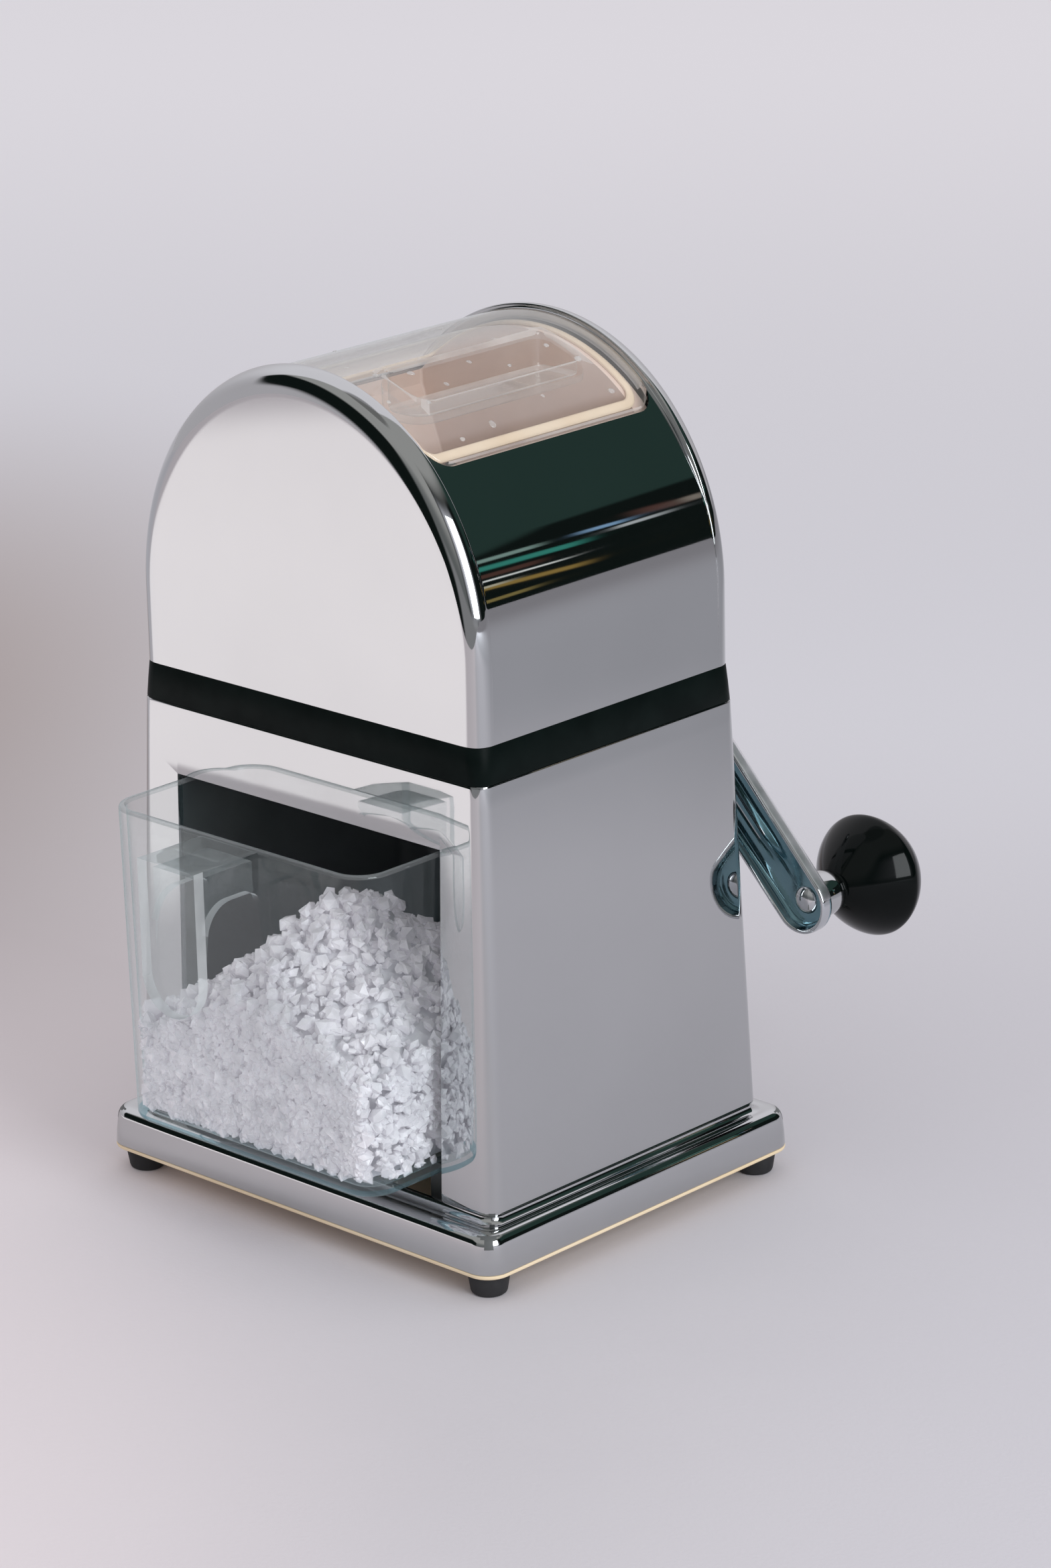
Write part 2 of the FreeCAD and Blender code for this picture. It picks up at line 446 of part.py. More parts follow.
def flat_plate(name, points, y, thick):
    """A flat pressing in the XZ plane, its outline given in x, z, from y to y + thick."""
    body = doc.addObject("PartDesign::Body", name)
    sk = body.newObject("Sketcher::SketchObject", name + "_outline")
    plane = [f for f in body.Origin.OriginFeatures if f.Role == "XZ_Plane"][0]
    sk.AttachmentSupport = [(plane, "")]
    sk.MapMode = "FlatFace"
    n = len(points)
    for i in range(n):
        a, b = points[i], points[(i + 1) % n]
        sk.addGeometry(Part.LineSegment(V(a[0], a[1], 0), V(b[0], b[1], 0)), False)
    for i in range(n):
        sk.addConstraint(Sketcher.Constraint("Coincident", i, 2, (i + 1) % n, 1))
        sk.addConstraint(Sketcher.Constraint("DistanceX", -1, 1, i, 1, points[i][0]))
        sk.addConstraint(Sketcher.Constraint("DistanceY", -1, 1, i, 1, points[i][1]))
    pad = body.newObject("PartDesign::Pad", name + "_pad")
    pad.Profile = sk
    pad.Reversed = True
    pad.setExpression("Length", bind(thick))
    body.Tip = pad
    return at(body, "0", y, "0")


comb_outline = [(9.5, 182.5), (9.5, 169.5), (28.0, 157.0), (35.5, 157.0), (35.5, 201.0), (25.0, 201.0)]
comb = []
for k in range(6):
    y = "blade_pitch*%g-blade_thick/2" % (k - 2.5)
    comb.append(cut("comb_blade_%d" % k, flat_plate("comb_sheet_%d" % k, comb_outline, y, "blade_thick"),
                    *[cyl("comb_bore_%d_%d" % (k, j), "Y", bx_, y + "-1", bz_, "3.0", "blade_thick+2")
                      for j, (bx_, bz_) in enumerate((("30", "196"), ("32", "162")))]))
node("comb_blades", group("comb_group", *comb))
for name, y0, y1, flange_lo in (("front_bush", "0-plate_y-plate_thick-1.2", "0-plate_y+1.0", True),
                                ("rear_bush", "plate_y-1.0", "plate_y+plate_thick+1.2", False)):
    if flange_lo:
        verts = [("axle_bore", y0), ("9", y0), ("9", "0-plate_y-plate_thick"), ("7", "0-plate_y-plate_thick"), ("7", y1), ("axle_bore", y1)]
    else:
        verts = [("axle_bore", y0), ("7", y0), ("7", "plate_y+plate_thick"), ("9", "plate_y+plate_thick"), ("9", y1), ("axle_bore", y1)]
    node(name, turned(name + "_body", "0", "axle_z", y0, verts))
node("wall_bush", turned("wall_bush_body", "0", "axle_z", "face_y-3.2",
                         [("axle_bore", "face_y-3.2"), ("6.2", "face_y-3.2"), ("6.2", "face_y"), ("10", "face_y"), ("10", "face_y+1.4"),
                          ("8.6", "face_y+2.6"), ("axle_bore", "face_y+2.6")]))

# ---------------------------------------------------------------- rotor on its shaft
shaft_body = turned("shaft_body", "0", "axle_z", "0-49.5",
                    [("0", "0-49.5"), ("axle_r-0.6", "0-49.5"), ("axle_r", "0-48.9"), ("axle_r", "arm_y+arm_depth"), ("2.9", "arm_y+arm_depth"),
                     ("2.9", "arm_y+arm_depth+6.8"), ("0", "arm_y+arm_depth+6.8")])
node("rotor_shaft", shaft_body)
star = []
for k in range(8):
    a = math.radians(45 * k)
    for da, r in ((-17, 10.5), (-9, 27.5), (0, 30.0), (7, 26.5), (13, 12.0)):
        if k % 2 == 0:
            star.append((r * math.cos(a + math.radians(da)), r * math.sin(a + math.radians(da))))
blades = []
for k in range(5):
    y = "blade_pitch*%g-blade_thick/2" % (k - 2)
    turn = math.radians(18.0 * k)
    pts = [(x * math.cos(turn) - z * math.sin(turn), 176.0 + x * math.sin(turn) + z * math.cos(turn)) for x, z in star]
    hub_disc = cyl("blade_hub_%d" % k, "Y", "0", y, "axle_z", "11.5", "blade_thick")
    sheet_k = flat_plate("blade_sheet_%d" % k, pts, y, "blade_thick")
    blades.append(cut("rotor_blade_%d" % k, fuse("rotor_blank_%d" % k, sheet_k, hub_disc),
                      cyl("blade_bore_%d" % k, "Y", "0", y + "-1", "axle_z", "axle_r", "blade_thick+2")))
node("rotor_blades", group("blade_group", *blades))
tubes = []
for k in range(6):
    if k == 0:
        y0, length = "0-plate_y+1.3", "plate_y-1.3-2*blade_pitch-blade_thick/2"
    elif k == 5:
        y0, length = "2*blade_pitch+blade_thick/2", "plate_y-1.3-2*blade_pitch-blade_thick/2"
    else:
        y0, length = "blade_pitch*%g+blade_thick/2" % (k - 3), "blade_pitch-blade_thick"
    tubes.append(cut("spacer_%d" % k, cyl("spacer_out_%d" % k, "Y", "0", y0, "axle_z", "spacer_r", length),
                     cyl("spacer_in_%d" % k, "Y", "0", y0 + "-1", "axle_z", "axle_r", length + "+2")))
node("rotor_spacers", group("spacer_group", *tubes))

# ---------------------------------------------------------------- ice chute under the deck
chute_out = fuse("chute_out",
                 lofted("chute_flange", square(50.0, 46.5, val("body_ztop") - 1.5, 2.0), square(50.0, 46.5, val("body_ztop"), 2.0)),
                 lofted("chute_cone", square(27.5, 35.5, 131.5, 3.0), square(37.5, 44.0, val("body_ztop"), 3.0)))
node("ice_chute", cut("chute_cut", chute_out,
                      lofted("chute_in", square(26.0, 34.0, 131.4, 2.5), square(36.0, 42.5, val("body_ztop") + 0.1, 2.5))))

# ---------------------------------------------------------------- crank arm: a channel pressing with a raised rib
hub = V(0, 0, val("axle_z"))
tip = V(val("tip_x"), 0, val("tip_z"))
axis_u = (tip - hub).normalize()
axis_n = V(-axis_u.z, 0, axis_u.x)
length = (tip - hub).Length
SHIFT = V(-val("orgx"), -val("orgy"), 0)


def stadium(r_hub, r_tip, y):
    """The arm's outline: two end arcs joined by their tangents, at height y."""
    tilt = math.asin((r_hub - r_tip) / length)
    c, s = math.cos(tilt), math.sin(tilt)

    def at_(base, r, side):
        return base + axis_n * (side * r * c) + axis_u * (r * s) + V(0, y, 0) + SHIFT

    h0, h1 = at_(hub, r_hub, 1), at_(hub, r_hub, -1)
    t0, t1 = at_(tip, r_tip, 1), at_(tip, r_tip, -1)
    back = hub - axis_u * r_hub + V(0, y, 0) + SHIFT
    nose = tip + axis_u * r_tip + V(0, y, 0) + SHIFT
    return Part.Wire([Part.Arc(h1, back, h0).toShape(), Part.LineSegment(h0, t0).toShape(),
                      Part.Arc(t0, nose, t1).toShape(), Part.LineSegment(t1, h1).toShape()])


arm_y, arm_d, arm_t, arm_w = val("arm_y"), val("arm_depth"), val("arm_web"), val("arm_wall")
arm_blank = doc.addObject("Part::Feature", "arm_blank")
arm_blank.Shape = Part.Face(stadium(val("arm_rhub"), val("arm_rtip"), arm_y)).extrude(V(0, arm_d, 0))
arm_well = doc.addObject("Part::Feature", "arm_well")
arm_well.Shape = Part.Face(stadium(val("arm_rhub") - arm_w, val("arm_rtip") - arm_w, arm_y - 0.5)).extrude(V(0, arm_d - arm_t + 0.5, 0))
rib_a, rib_b = hub + axis_u * 6.0, hub + axis_u * (length - 14.0)
rib_pts = [rib_a + axis_n * 2.6, rib_b + axis_n * 1.6, rib_b + axis_u * 2.0, rib_b - axis_n * 1.6, rib_a - axis_n * 2.6]
rib_pts = [p + V(0, arm_y + arm_d - arm_t - 1.7, 0) + SHIFT for p in rib_pts]
arm_rib = doc.addObject("Part::Feature", "arm_rib")
arm_rib.Shape = Part.Face(Part.makePolygon(rib_pts + [rib_pts[0]])).extrude(V(0, 2.2, 0))
arm_boss = cyl("arm_boss", "Y", "0", "face_y+3.6", "axle_z", "8.2", "arm_y+arm_depth-face_y-3.6")
node("crank_arm", cut("arm_cut", fuse("arm_solid", cut("arm_channel", arm_blank, arm_well), arm_rib, arm_boss),
                      cyl("arm_bore", "Y", "0", "40", "axle_z", "axle_r", "40"),
                      cyl("arm_tip_bore", "Y", "tip_x", "40", "tip_z", "spindle_r", "40")))
node("thrust_washer", turned("washer_body", "0", "axle_z", "face_y+2.7",
                             [("axle_bore", "face_y+2.7"), ("8.4", "face_y+2.7"), ("8.4", "face_y+3.5"), ("axle_bore", "face_y+3.5")]))
nut_y = "arm_y+arm_depth"
node("crank_nut", turned("nut_body", "0", "axle_z", nut_y,
                         [("2.9", nut_y), ("7.6", nut_y), ("7.6", nut_y + "+1.0"), ("6.2", nut_y + "+1.4"), ("6.2", nut_y + "+5.0"),
                          ("5.4", nut_y + "+7.4"), ("3.2", nut_y + "+9.2"), ("0", nut_y + "+9.8"), ("0", nut_y + "+6.9"), ("2.9", nut_y + "+6.9")]))

# ---------------------------------------------------------------- knob, ferrule and spindle
web_y = "arm_y+arm_depth-arm_web"
node("knob_spindle", turned("spindle_body", "tip_x", "tip_z", web_y + "-1.9",
                            [("0", web_y + "-1.9"), ("2.4", web_y + "-1.6"), ("3.9", web_y + "-0.8"), ("4.4", web_y), ("spindle_r", web_y),
                             ("spindle_r", "100"), ("0", "100")]))
node("knob_ferrule", turned("ferrule_body", "tip_x", "tip_z", "arm_y+arm_depth+0.2",
                            [("spindle_bore", "arm_y+arm_depth+0.2"), ("ferrule_r-0.9", "arm_y+arm_depth+0.2"), ("ferrule_r", "arm_y+arm_depth+1.4"),
                             ("ferrule_r+0.2", "arm_y+arm_depth+5.0"), ("ferrule_r-0.4", "arm_y+arm_depth+9.0"),
                             ("ferrule_r-1.4", "arm_y+arm_depth+9.8"), ("spindle_bore", "arm_y+arm_depth+9.8")]))
knob_prof = [("spindle_bore", "80.35"), ("5.2", "80.35"), ("6.6", "81.3"), ("9.3", "83.9"), ("12.4", "87.2"), ("15.3", "90.7"), ("17.3", "93.7"),
             ("knob_r-0.5", "96.2"), ("knob_r", "98.4"), ("knob_r-0.5", "100.8"), ("17.4", "103.0"), ("15.2", "106.0"), ("12.3", "109.0"),
             ("9.2", "111.4"), ("6.0", "113.0"), ("3.0", "113.7"), ("0", "113.8"), ("0", "100.3"), ("spindle_bore", "100.3")]
node("crank_knob", turned("knob_body", "tip_x", "tip_z", "80.35", knob_prof))

# ---------------------------------------------------------------- container with its hooked handle
cz0, cz1, chx, cf, cr, cw, cd = (val(k) for k in ("cont_zlow", "cont_ztop", "cont_hx", "cont_front", "cont_rear", "cont_wall", "cont_draft"))
cont_out = lofted("cont_out", (chx - cd - 2.4, -cf + cd + 2.4, cr - cd - 2.4, cz0, 8.5, 4.0),
                  (chx - cd, -cf + cd, cr - cd, cz0 + 2.6, 10.5, 6.0), (chx, -cf, cr, cz1, 11.0, 6.5))
cont_in = lofted("cont_in", (chx - cd - cw - 1.5, -cf + cd + cw + 1.5, cr - cd - cw - 1.5, cz0 + cw + 0.2, 7.0, 3.2),
                 (chx - cd - cw, -cf + cd + cw, cr - cd - cw, cz0 + cw + 1.9, 8.3, 4.2), (chx - cw, -cf + cw, cr - cw, cz1 + 0.01, 8.8, 4.5))
grip_top = box("grip_top", "0-grip_hx", "grip_hx", "0-grip_front", "0-cont_front+1", "cont_ztop-3.6", "cont_ztop-0.6")
grip_sides = [box("grip_side_%s" % n, a, b, "0-grip_front", "0-cont_front+1", "cont_ztop-12", "cont_ztop-0.6")
              for n, a, b in (("r", "grip_hx-2.6", "grip_hx"), ("l", "0-grip_hx", "0-grip_hx+2.6"))]
grip_front = box("grip_front", "0-grip_hx", "grip_hx", "0-grip_front", "0-grip_front+grip_thick", "grip_low+grip_hx", "cont_ztop-0.6")
grip_round = cyl("grip_round", "Y", "0", "0-grip_front", "grip_low+grip_hx", "grip_hx", "grip_thick")
node("ice_container", cut("cont_cut", fuse("cont_solid", cont_out, grip_top, grip_front, grip_round, *grip_sides), cont_in))

# ---------------------------------------------------------------- check every object, then write the pieces
doc.recompute()
bad = []
for o in doc.Objects:
    if any(s in ("Invalid", "Error") for s in o.State):
        bad.append("%s %s" % (o.Name, o.State))
for name, o in PARTS.items():
    shape = o.Shape
    if shape.isNull() or not shape.isValid() or not shape.Solids:
        bad.append("%s has no valid solid" % name)
if bad:
    raise RuntimeError("not written: " + "; ".join(bad))
os.makedirs("parts", exist_ok=True)
total = Part.makeCompound([o.Shape for o in PARTS.values()]).BoundBox
for name, o in PARTS.items():
    o.Shape.exportStep("parts/%s.step" % name)
    print("%-20s solids %2d  volume %10.1f  area %10.1f" % (name, len(o.Shape.Solids), o.Shape.Volume, o.Shape.Area))
print("nodes", len(PARTS), "box", [round(x, 2) for x in (total.XMin, total.XMax, total.YMin, total.YMax, total.ZMin, total.ZMax)])
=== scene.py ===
import math

import bmesh
import bpy
import numpy as np
from mathutils import Matrix, Vector


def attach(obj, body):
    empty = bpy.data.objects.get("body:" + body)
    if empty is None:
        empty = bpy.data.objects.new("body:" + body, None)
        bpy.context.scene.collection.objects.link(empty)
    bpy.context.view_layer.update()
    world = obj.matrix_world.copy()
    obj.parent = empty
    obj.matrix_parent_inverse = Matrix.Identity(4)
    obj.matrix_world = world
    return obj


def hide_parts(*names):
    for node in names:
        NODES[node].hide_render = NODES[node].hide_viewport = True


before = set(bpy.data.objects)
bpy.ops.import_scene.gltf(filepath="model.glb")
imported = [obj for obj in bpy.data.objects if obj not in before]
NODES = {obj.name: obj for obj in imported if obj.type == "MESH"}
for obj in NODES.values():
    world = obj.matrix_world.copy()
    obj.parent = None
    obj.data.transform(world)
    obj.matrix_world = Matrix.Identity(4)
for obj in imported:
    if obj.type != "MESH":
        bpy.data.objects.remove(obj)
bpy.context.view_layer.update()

# Everything below is worked out in millimetres from the rotor's shaft plane and middle, and moved into the
# row frame by ORG when a mesh is made.
MM = 0.001
ORG = np.array([11.1, 1.1, 0.0])
SCENE = bpy.context.scene
SIN, COS, PI = math.sin, math.cos, math.pi


# ------------------------------------------------------------------------------------------ materials
def new_mat(name):
    m = bpy.data.materials.new(name)
    m.use_nodes = True
    m.node_tree.nodes.clear()
    return m, m.node_tree


def add(t, kind, **kw):
    n = t.nodes.new(kind)
    for k, v in kw.items():
        setattr(n, k, v)
    return n


def surface(name, color=(0.5, 0.5, 0.5), color2=None, scale=60.0, detail=4.0, stops=(0.35, 0.65), rough=(0.3, 0.4), rough_scale=90.0,
            bump=0.0, bump_scale=400.0, bump_distance=0.0004, stretch=(1, 1, 1), metallic=0.0, ior=1.45, coat=0.0, coat_rough=0.05,
            spec=0.5, transmission=0.0, subsurface=0.0, sss_radius=(0.004, 0.004, 0.004), specks=None, wave=None, sheen=0.0):
    """A procedural surface: colour from noise between two tones, roughness from a second noise, fine bump from a third."""
    m, t = new_mat(name)
    out = add(t, "ShaderNodeOutputMaterial")
    p = add(t, "ShaderNodeBsdfPrincipled")
    t.links.new(p.outputs[0], out.inputs[0])
    co = add(t, "ShaderNodeTexCoord")
    mp = add(t, "ShaderNodeMapping")
    mp.inputs["Scale"].default_value = stretch
    t.links.new(co.outputs["Object"], mp.inputs[0])
    n1 = add(t, "ShaderNodeTexNoise")
    n1.inputs["Scale"].default_value = scale
    n1.inputs["Detail"].default_value = detail
    t.links.new(mp.outputs[0], n1.inputs["Vector"])
    r1 = add(t, "ShaderNodeValToRGB")
    r1.color_ramp.elements[0].position, r1.color_ramp.elements[1].position = stops
    c2 = color2 or tuple(min(1.0, c * 1.12) for c in color)
    r1.color_ramp.elements[0].color = (*color, 1)
    r1.color_ramp.elements[1].color = (*c2, 1)
    t.links.new(n1.outputs[0], r1.inputs[0])
    last = r1.outputs[0]
    if specks:
        n3 = add(t, "ShaderNodeTexVoronoi")
        n3.inputs["Scale"].default_value = specks[0]
        r3 = add(t, "ShaderNodeValToRGB")
        r3.color_ramp.elements[0].position, r3.color_ramp.elements[1].position = specks[1], specks[1] + 0.04
        r3.color_ramp.elements[0].color = (1, 1, 1, 1)
        r3.color_ramp.elements[1].color = (0, 0, 0, 1)
        mx = add(t, "ShaderNodeMix", data_type="RGBA")
        mx.inputs[7].default_value = (*specks[2], 1)
        t.links.new(mp.outputs[0], n3.inputs["Vector"])
        t.links.new(n3.outputs[0], r3.inputs[0])
        t.links.new(r3.outputs[0], mx.inputs[0])
        t.links.new(last, mx.inputs[6])
        last = mx.outputs[2]
    t.links.new(last, p.inputs["Base Color"])
    n2 = add(t, "ShaderNodeTexNoise")
    n2.inputs["Scale"].default_value = rough_scale
    n2.inputs["Detail"].default_value = 3.0
    t.links.new(mp.outputs[0], n2.inputs["Vector"])
    mr = add(t, "ShaderNodeMapRange")
    mr.inputs[1].default_value, mr.inputs[2].default_value = 0.3, 0.7
    mr.inputs[3].default_value, mr.inputs[4].default_value = rough
    t.links.new(n2.outputs[0], mr.inputs[0])
    t.links.new(mr.outputs[0], p.inputs["Roughness"])
    if bump:
        n4 = add(t, "ShaderNodeTexNoise")
        n4.inputs["Scale"].default_value = bump_scale
        n4.inputs["Detail"].default_value = 2.0
        t.links.new(mp.outputs[0], n4.inputs["Vector"])
        b = add(t, "ShaderNodeBump")
        b.inputs["Strength"].default_value = bump
        b.inputs["Distance"].default_value = bump_distance
        t.links.new(n4.outputs[0], b.inputs["Height"])
        t.links.new(b.outputs[0], p.inputs["Normal"])
    p.inputs["Metallic"].default_value = metallic
    p.inputs["IOR"].default_value = ior
    p.inputs["Coat Weight"].default_value = coat
    p.inputs["Coat Roughness"].default_value = coat_rough
    p.inputs["Specular IOR Level"].default_value = spec
    p.inputs["Transmission Weight"].default_value = transmission
    p.inputs["Subsurface Weight"].default_value = subsurface
    p.inputs["Subsurface Radius"].default_value = sss_radius
    p.inputs["Subsurface Scale"].default_value = 1.0
    return m


CHROME = surface("polished_plating", (0.528, 0.538, 0.543), (0.562, 0.572, 0.577), scale=9, rough=(0.02, 0.05), rough_scale=35, metallic=1.0,
                 bump=0.06, bump_scale=14, bump_distance=0.0005)
CHROME_ARM = surface("polished_arm", (0.60, 0.62, 0.64), (0.66, 0.68, 0.70), scale=20, rough=(0.05, 0.11), rough_scale=120, metallic=1.0,
                     bump=0.08, bump_scale=60, bump_distance=0.0003)
# painted reflection and shade: a teal, darker metal inside the crank arm's chrome channel
ARM_CHANNEL_REFLECTION = surface("arm_channel", (0.15, 0.28, 0.33), (0.22, 0.35, 0.39), scale=60, rough=(0.10, 0.20), rough_scale=150, metallic=1.0, bump=0.04, bump_scale=90,
                      bump_distance=0.0003)
# painted sheen: a paler, rougher metal on the arm's outward edge faces
ARM_EDGE_SHEEN = surface("arm_edge_painted_sheen", (0.86, 0.86, 0.89), (0.92, 0.92, 0.95), scale=50, rough=(0.30, 0.42), rough_scale=120, metallic=1.0, bump=0.04, bump_scale=90,
                   bump_distance=0.0002)
BLACK_TRIM = surface("black_band", (0.0018, 0.0042, 0.0038), (0.0035, 0.0068, 0.0062), scale=80, rough=(0.34, 0.46), rough_scale=200, bump=0.05,
                     bump_scale=900, bump_distance=0.0001, spec=0.06)
BLACK_INNER = surface("black_inside", (0.085, 0.090, 0.090), (0.105, 0.112, 0.112), scale=60, rough=(0.45, 0.6), bump=0.08, bump_scale=700,
                      bump_distance=0.0001)
KNOB_BLACK = surface("knob_gloss", (0.0012, 0.0022, 0.002), (0.0022, 0.0036, 0.0034), scale=40, rough=(0.04, 0.08), rough_scale=60, spec=0.17,
                     bump=0.03, bump_scale=25, bump_distance=0.0003)
RUBBER = surface("foot_rubber", (0.012, 0.012, 0.014), (0.022, 0.022, 0.024), scale=150, rough=(0.55, 0.75), bump=0.2, bump_scale=1200,
                 bump_distance=0.0001)
CREAM = surface("cream_plastic", (0.80, 0.64, 0.42), (0.86, 0.71, 0.50), scale=40, rough=(0.35, 0.5), bump=0.05, bump_scale=600,
                bump_distance=0.0001)
BEIGE = surface("beige_inside", (0.76, 0.61, 0.54), (0.84, 0.69, 0.61), scale=30, rough=(0.35, 0.5), bump=0.05, bump_scale=400,
                bump_distance=0.0001)
ZINC = surface("plated_steel", (0.36, 0.37, 0.38), (0.46, 0.47, 0.48), scale=90, rough=(0.28, 0.45), metallic=1.0, bump=0.12, bump_scale=500,
               stretch=(1, 6, 1), bump_distance=0.0001)
BLADE = surface("ground_steel", (0.50, 0.50, 0.51), (0.62, 0.62, 0.63), scale=70, rough=(0.18, 0.32), metallic=1.0, bump=0.2, bump_scale=900,
                stretch=(1, 1, 9), bump_distance=0.0001)
GASKET = surface("gasket_cream", (0.86, 0.72, 0.55), (0.92, 0.80, 0.64), scale=50, rough=(0.3, 0.42), bump=0.05, bump_scale=500, bump_distance=0.0001)
BRASS = surface("bush_brass", (0.62, 0.42, 0.16), (0.72, 0.52, 0.22), scale=80, rough=(0.22, 0.35), metallic=1.0, bump=0.1, bump_scale=600,
                bump_distance=0.0001)
NYLON = surface("washer_nylon", (0.78, 0.76, 0.70), (0.84, 0.82, 0.77), scale=60, rough=(0.4, 0.55), bump=0.08, bump_scale=500,
                bump_distance=0.0001)


def clear(name, tint, edge, haze_and_sheen, haze_and_sheen_color, rough=(0.01, 0.04), bump=0.03, bump_scale=18, power=2.2):
    """Clear moulded plastic: see-through with faint flow waves, a gloss that grows towards grazing views, an edge
    colour, a little milkiness in clouds, and a pale layer growing towards grazing views as a painted sheen on the
    edges.
    """
    m, t = new_mat(name)
    out = add(t, "ShaderNodeOutputMaterial")

    def calc(op, a, b, clamp=False):
        n = add(t, "ShaderNodeMath", operation=op, use_clamp=clamp)
        for k, v in enumerate((a, b)):
            if isinstance(v, bpy.types.NodeSocket):
                t.links.new(v, n.inputs[k])
            else:
                n.inputs[k].default_value = v
        return n.outputs[0]
    co = add(t, "ShaderNodeTexCoord")
    n = add(t, "ShaderNodeTexNoise")
    n.inputs["Scale"].default_value, n.inputs["Detail"].default_value = 30, 3
    t.links.new(co.outputs["Object"], n.inputs["Vector"])
    mr = add(t, "ShaderNodeMapRange")
    mr.inputs[1].default_value, mr.inputs[2].default_value = 0.35, 0.7
    mr.inputs[3].default_value, mr.inputs[4].default_value = rough
    t.links.new(n.outputs[0], mr.inputs[0])
    n2 = add(t, "ShaderNodeTexNoise")
    n2.inputs["Scale"].default_value = bump_scale
    t.links.new(co.outputs["Object"], n2.inputs["Vector"])
    b = add(t, "ShaderNodeBump")
    b.inputs["Strength"].default_value, b.inputs["Distance"].default_value = bump, 0.0005
    t.links.new(n2.outputs[0], b.inputs["Height"])
    lw = add(t, "ShaderNodeLayerWeight")
    lw.inputs["Blend"].default_value = 0.5
    facing = lw.outputs["Facing"]
    gloss_w = calc("ADD", calc("MULTIPLY", calc("POWER", facing, 4.0), 0.72), 0.035, True)
    edge_w = calc("MULTIPLY", calc("POWER", facing, power), 1.0, True)
    r = add(t, "ShaderNodeMix", data_type="RGBA")
    t.links.new(edge_w, r.inputs[0])
    r.inputs[6].default_value, r.inputs[7].default_value = (*tint, 1), (*edge, 1)
    see = add(t, "ShaderNodeBsdfTransparent")
    t.links.new(r.outputs[2], see.inputs[0])
    # pale layer: milky in clouds from the noise, and a painted sheen that grows towards grazing views
    milk = add(t, "ShaderNodeBsdfTranslucent")
    milk.inputs[0].default_value = (*haze_and_sheen_color, 1)
    white = add(t, "ShaderNodeBsdfDiffuse")
    white.inputs[0].default_value = (*haze_and_sheen_color, 1)
    soft = add(t, "ShaderNodeMixShader")
    soft.inputs[0].default_value = 0.5
    t.links.new(milk.outputs[0], soft.inputs[1])
    t.links.new(white.outputs[0], soft.inputs[2])
    m1 = add(t, "ShaderNodeMixShader")
    t.links.new(calc("ADD", calc("MULTIPLY", calc("POWER", facing, 5.0), haze_and_sheen[1]), calc("MULTIPLY", n.outputs[0], haze_and_sheen[0] * 2), True), m1.inputs[0])
    t.links.new(see.outputs[0], m1.inputs[1])
    t.links.new(soft.outputs[0], m1.inputs[2])
    gl = add(t, "ShaderNodeBsdfGlossy")
    t.links.new(mr.outputs[0], gl.inputs["Roughness"])
    t.links.new(b.outputs[0], gl.inputs["Normal"])
    gl.inputs[0].default_value = (0.9, 0.95, 0.95, 1)
    m2 = add(t, "ShaderNodeMixShader")
    t.links.new(gloss_w, m2.inputs[0])
    t.links.new(m1.outputs[0], m2.inputs[1])
    t.links.new(gl.outputs[0], m2.inputs[2])
    t.links.new(m2.outputs[0], out.inputs["Surface"])
    return m


CLEAR_BOX = clear("clear_container", (0.985, 0.99, 0.99), (0.80, 0.90, 0.90), (0.010, 0.50), (0.62, 0.88, 0.92), power=4.0)
BOX_LIP = clear("container_lip", (0.80, 0.84, 0.84), (0.62, 0.68, 0.68), (0.17, 0.45), (0.66, 0.68, 0.69), power=3.0)
BOX_FOOT = clear("container_foot", (0.50, 0.70, 0.75), (0.36, 0.58, 0.64), (0.12, 0.25), (0.48, 0.68, 0.74), power=3.0)
# painted highlight: a paler, milkier plastic on the handle's rounded edges stands in for their bright edge highlights
HANDLE_EDGE_SHEEN = clear("handle_edge_painted_sheen", (0.86, 0.90, 0.90), (0.70, 0.76, 0.76), (0.42, 0.55), (0.90, 0.92, 0.93), power=3.0)
CLEAR_LID = clear("clear_lid", (0.985, 0.975, 0.97), (0.90, 0.89, 0.87), (0.040, 0.42), (0.96, 0.92, 0.90), bump=0.02, bump_scale=20, power=4.0)
# painted highlight: a paler, milkier plastic on the lid's rounded edges stands in for their bright edge highlights
LID_EDGE_SHEEN = clear("lid_edges_painted_sheen", (0.93, 0.90, 0.88), (0.80, 0.78, 0.76), (0.42, 0.45), (1.0, 0.97, 0.95), bump=0.04, bump_scale=40, power=3.0)
WATER = clear("water_drop", (0.95, 0.95, 0.95), (0.66, 0.64, 0.62), (0.28, 0.6), (1.0, 0.98, 0.97), rough=(0.0, 0.01), power=3.0)


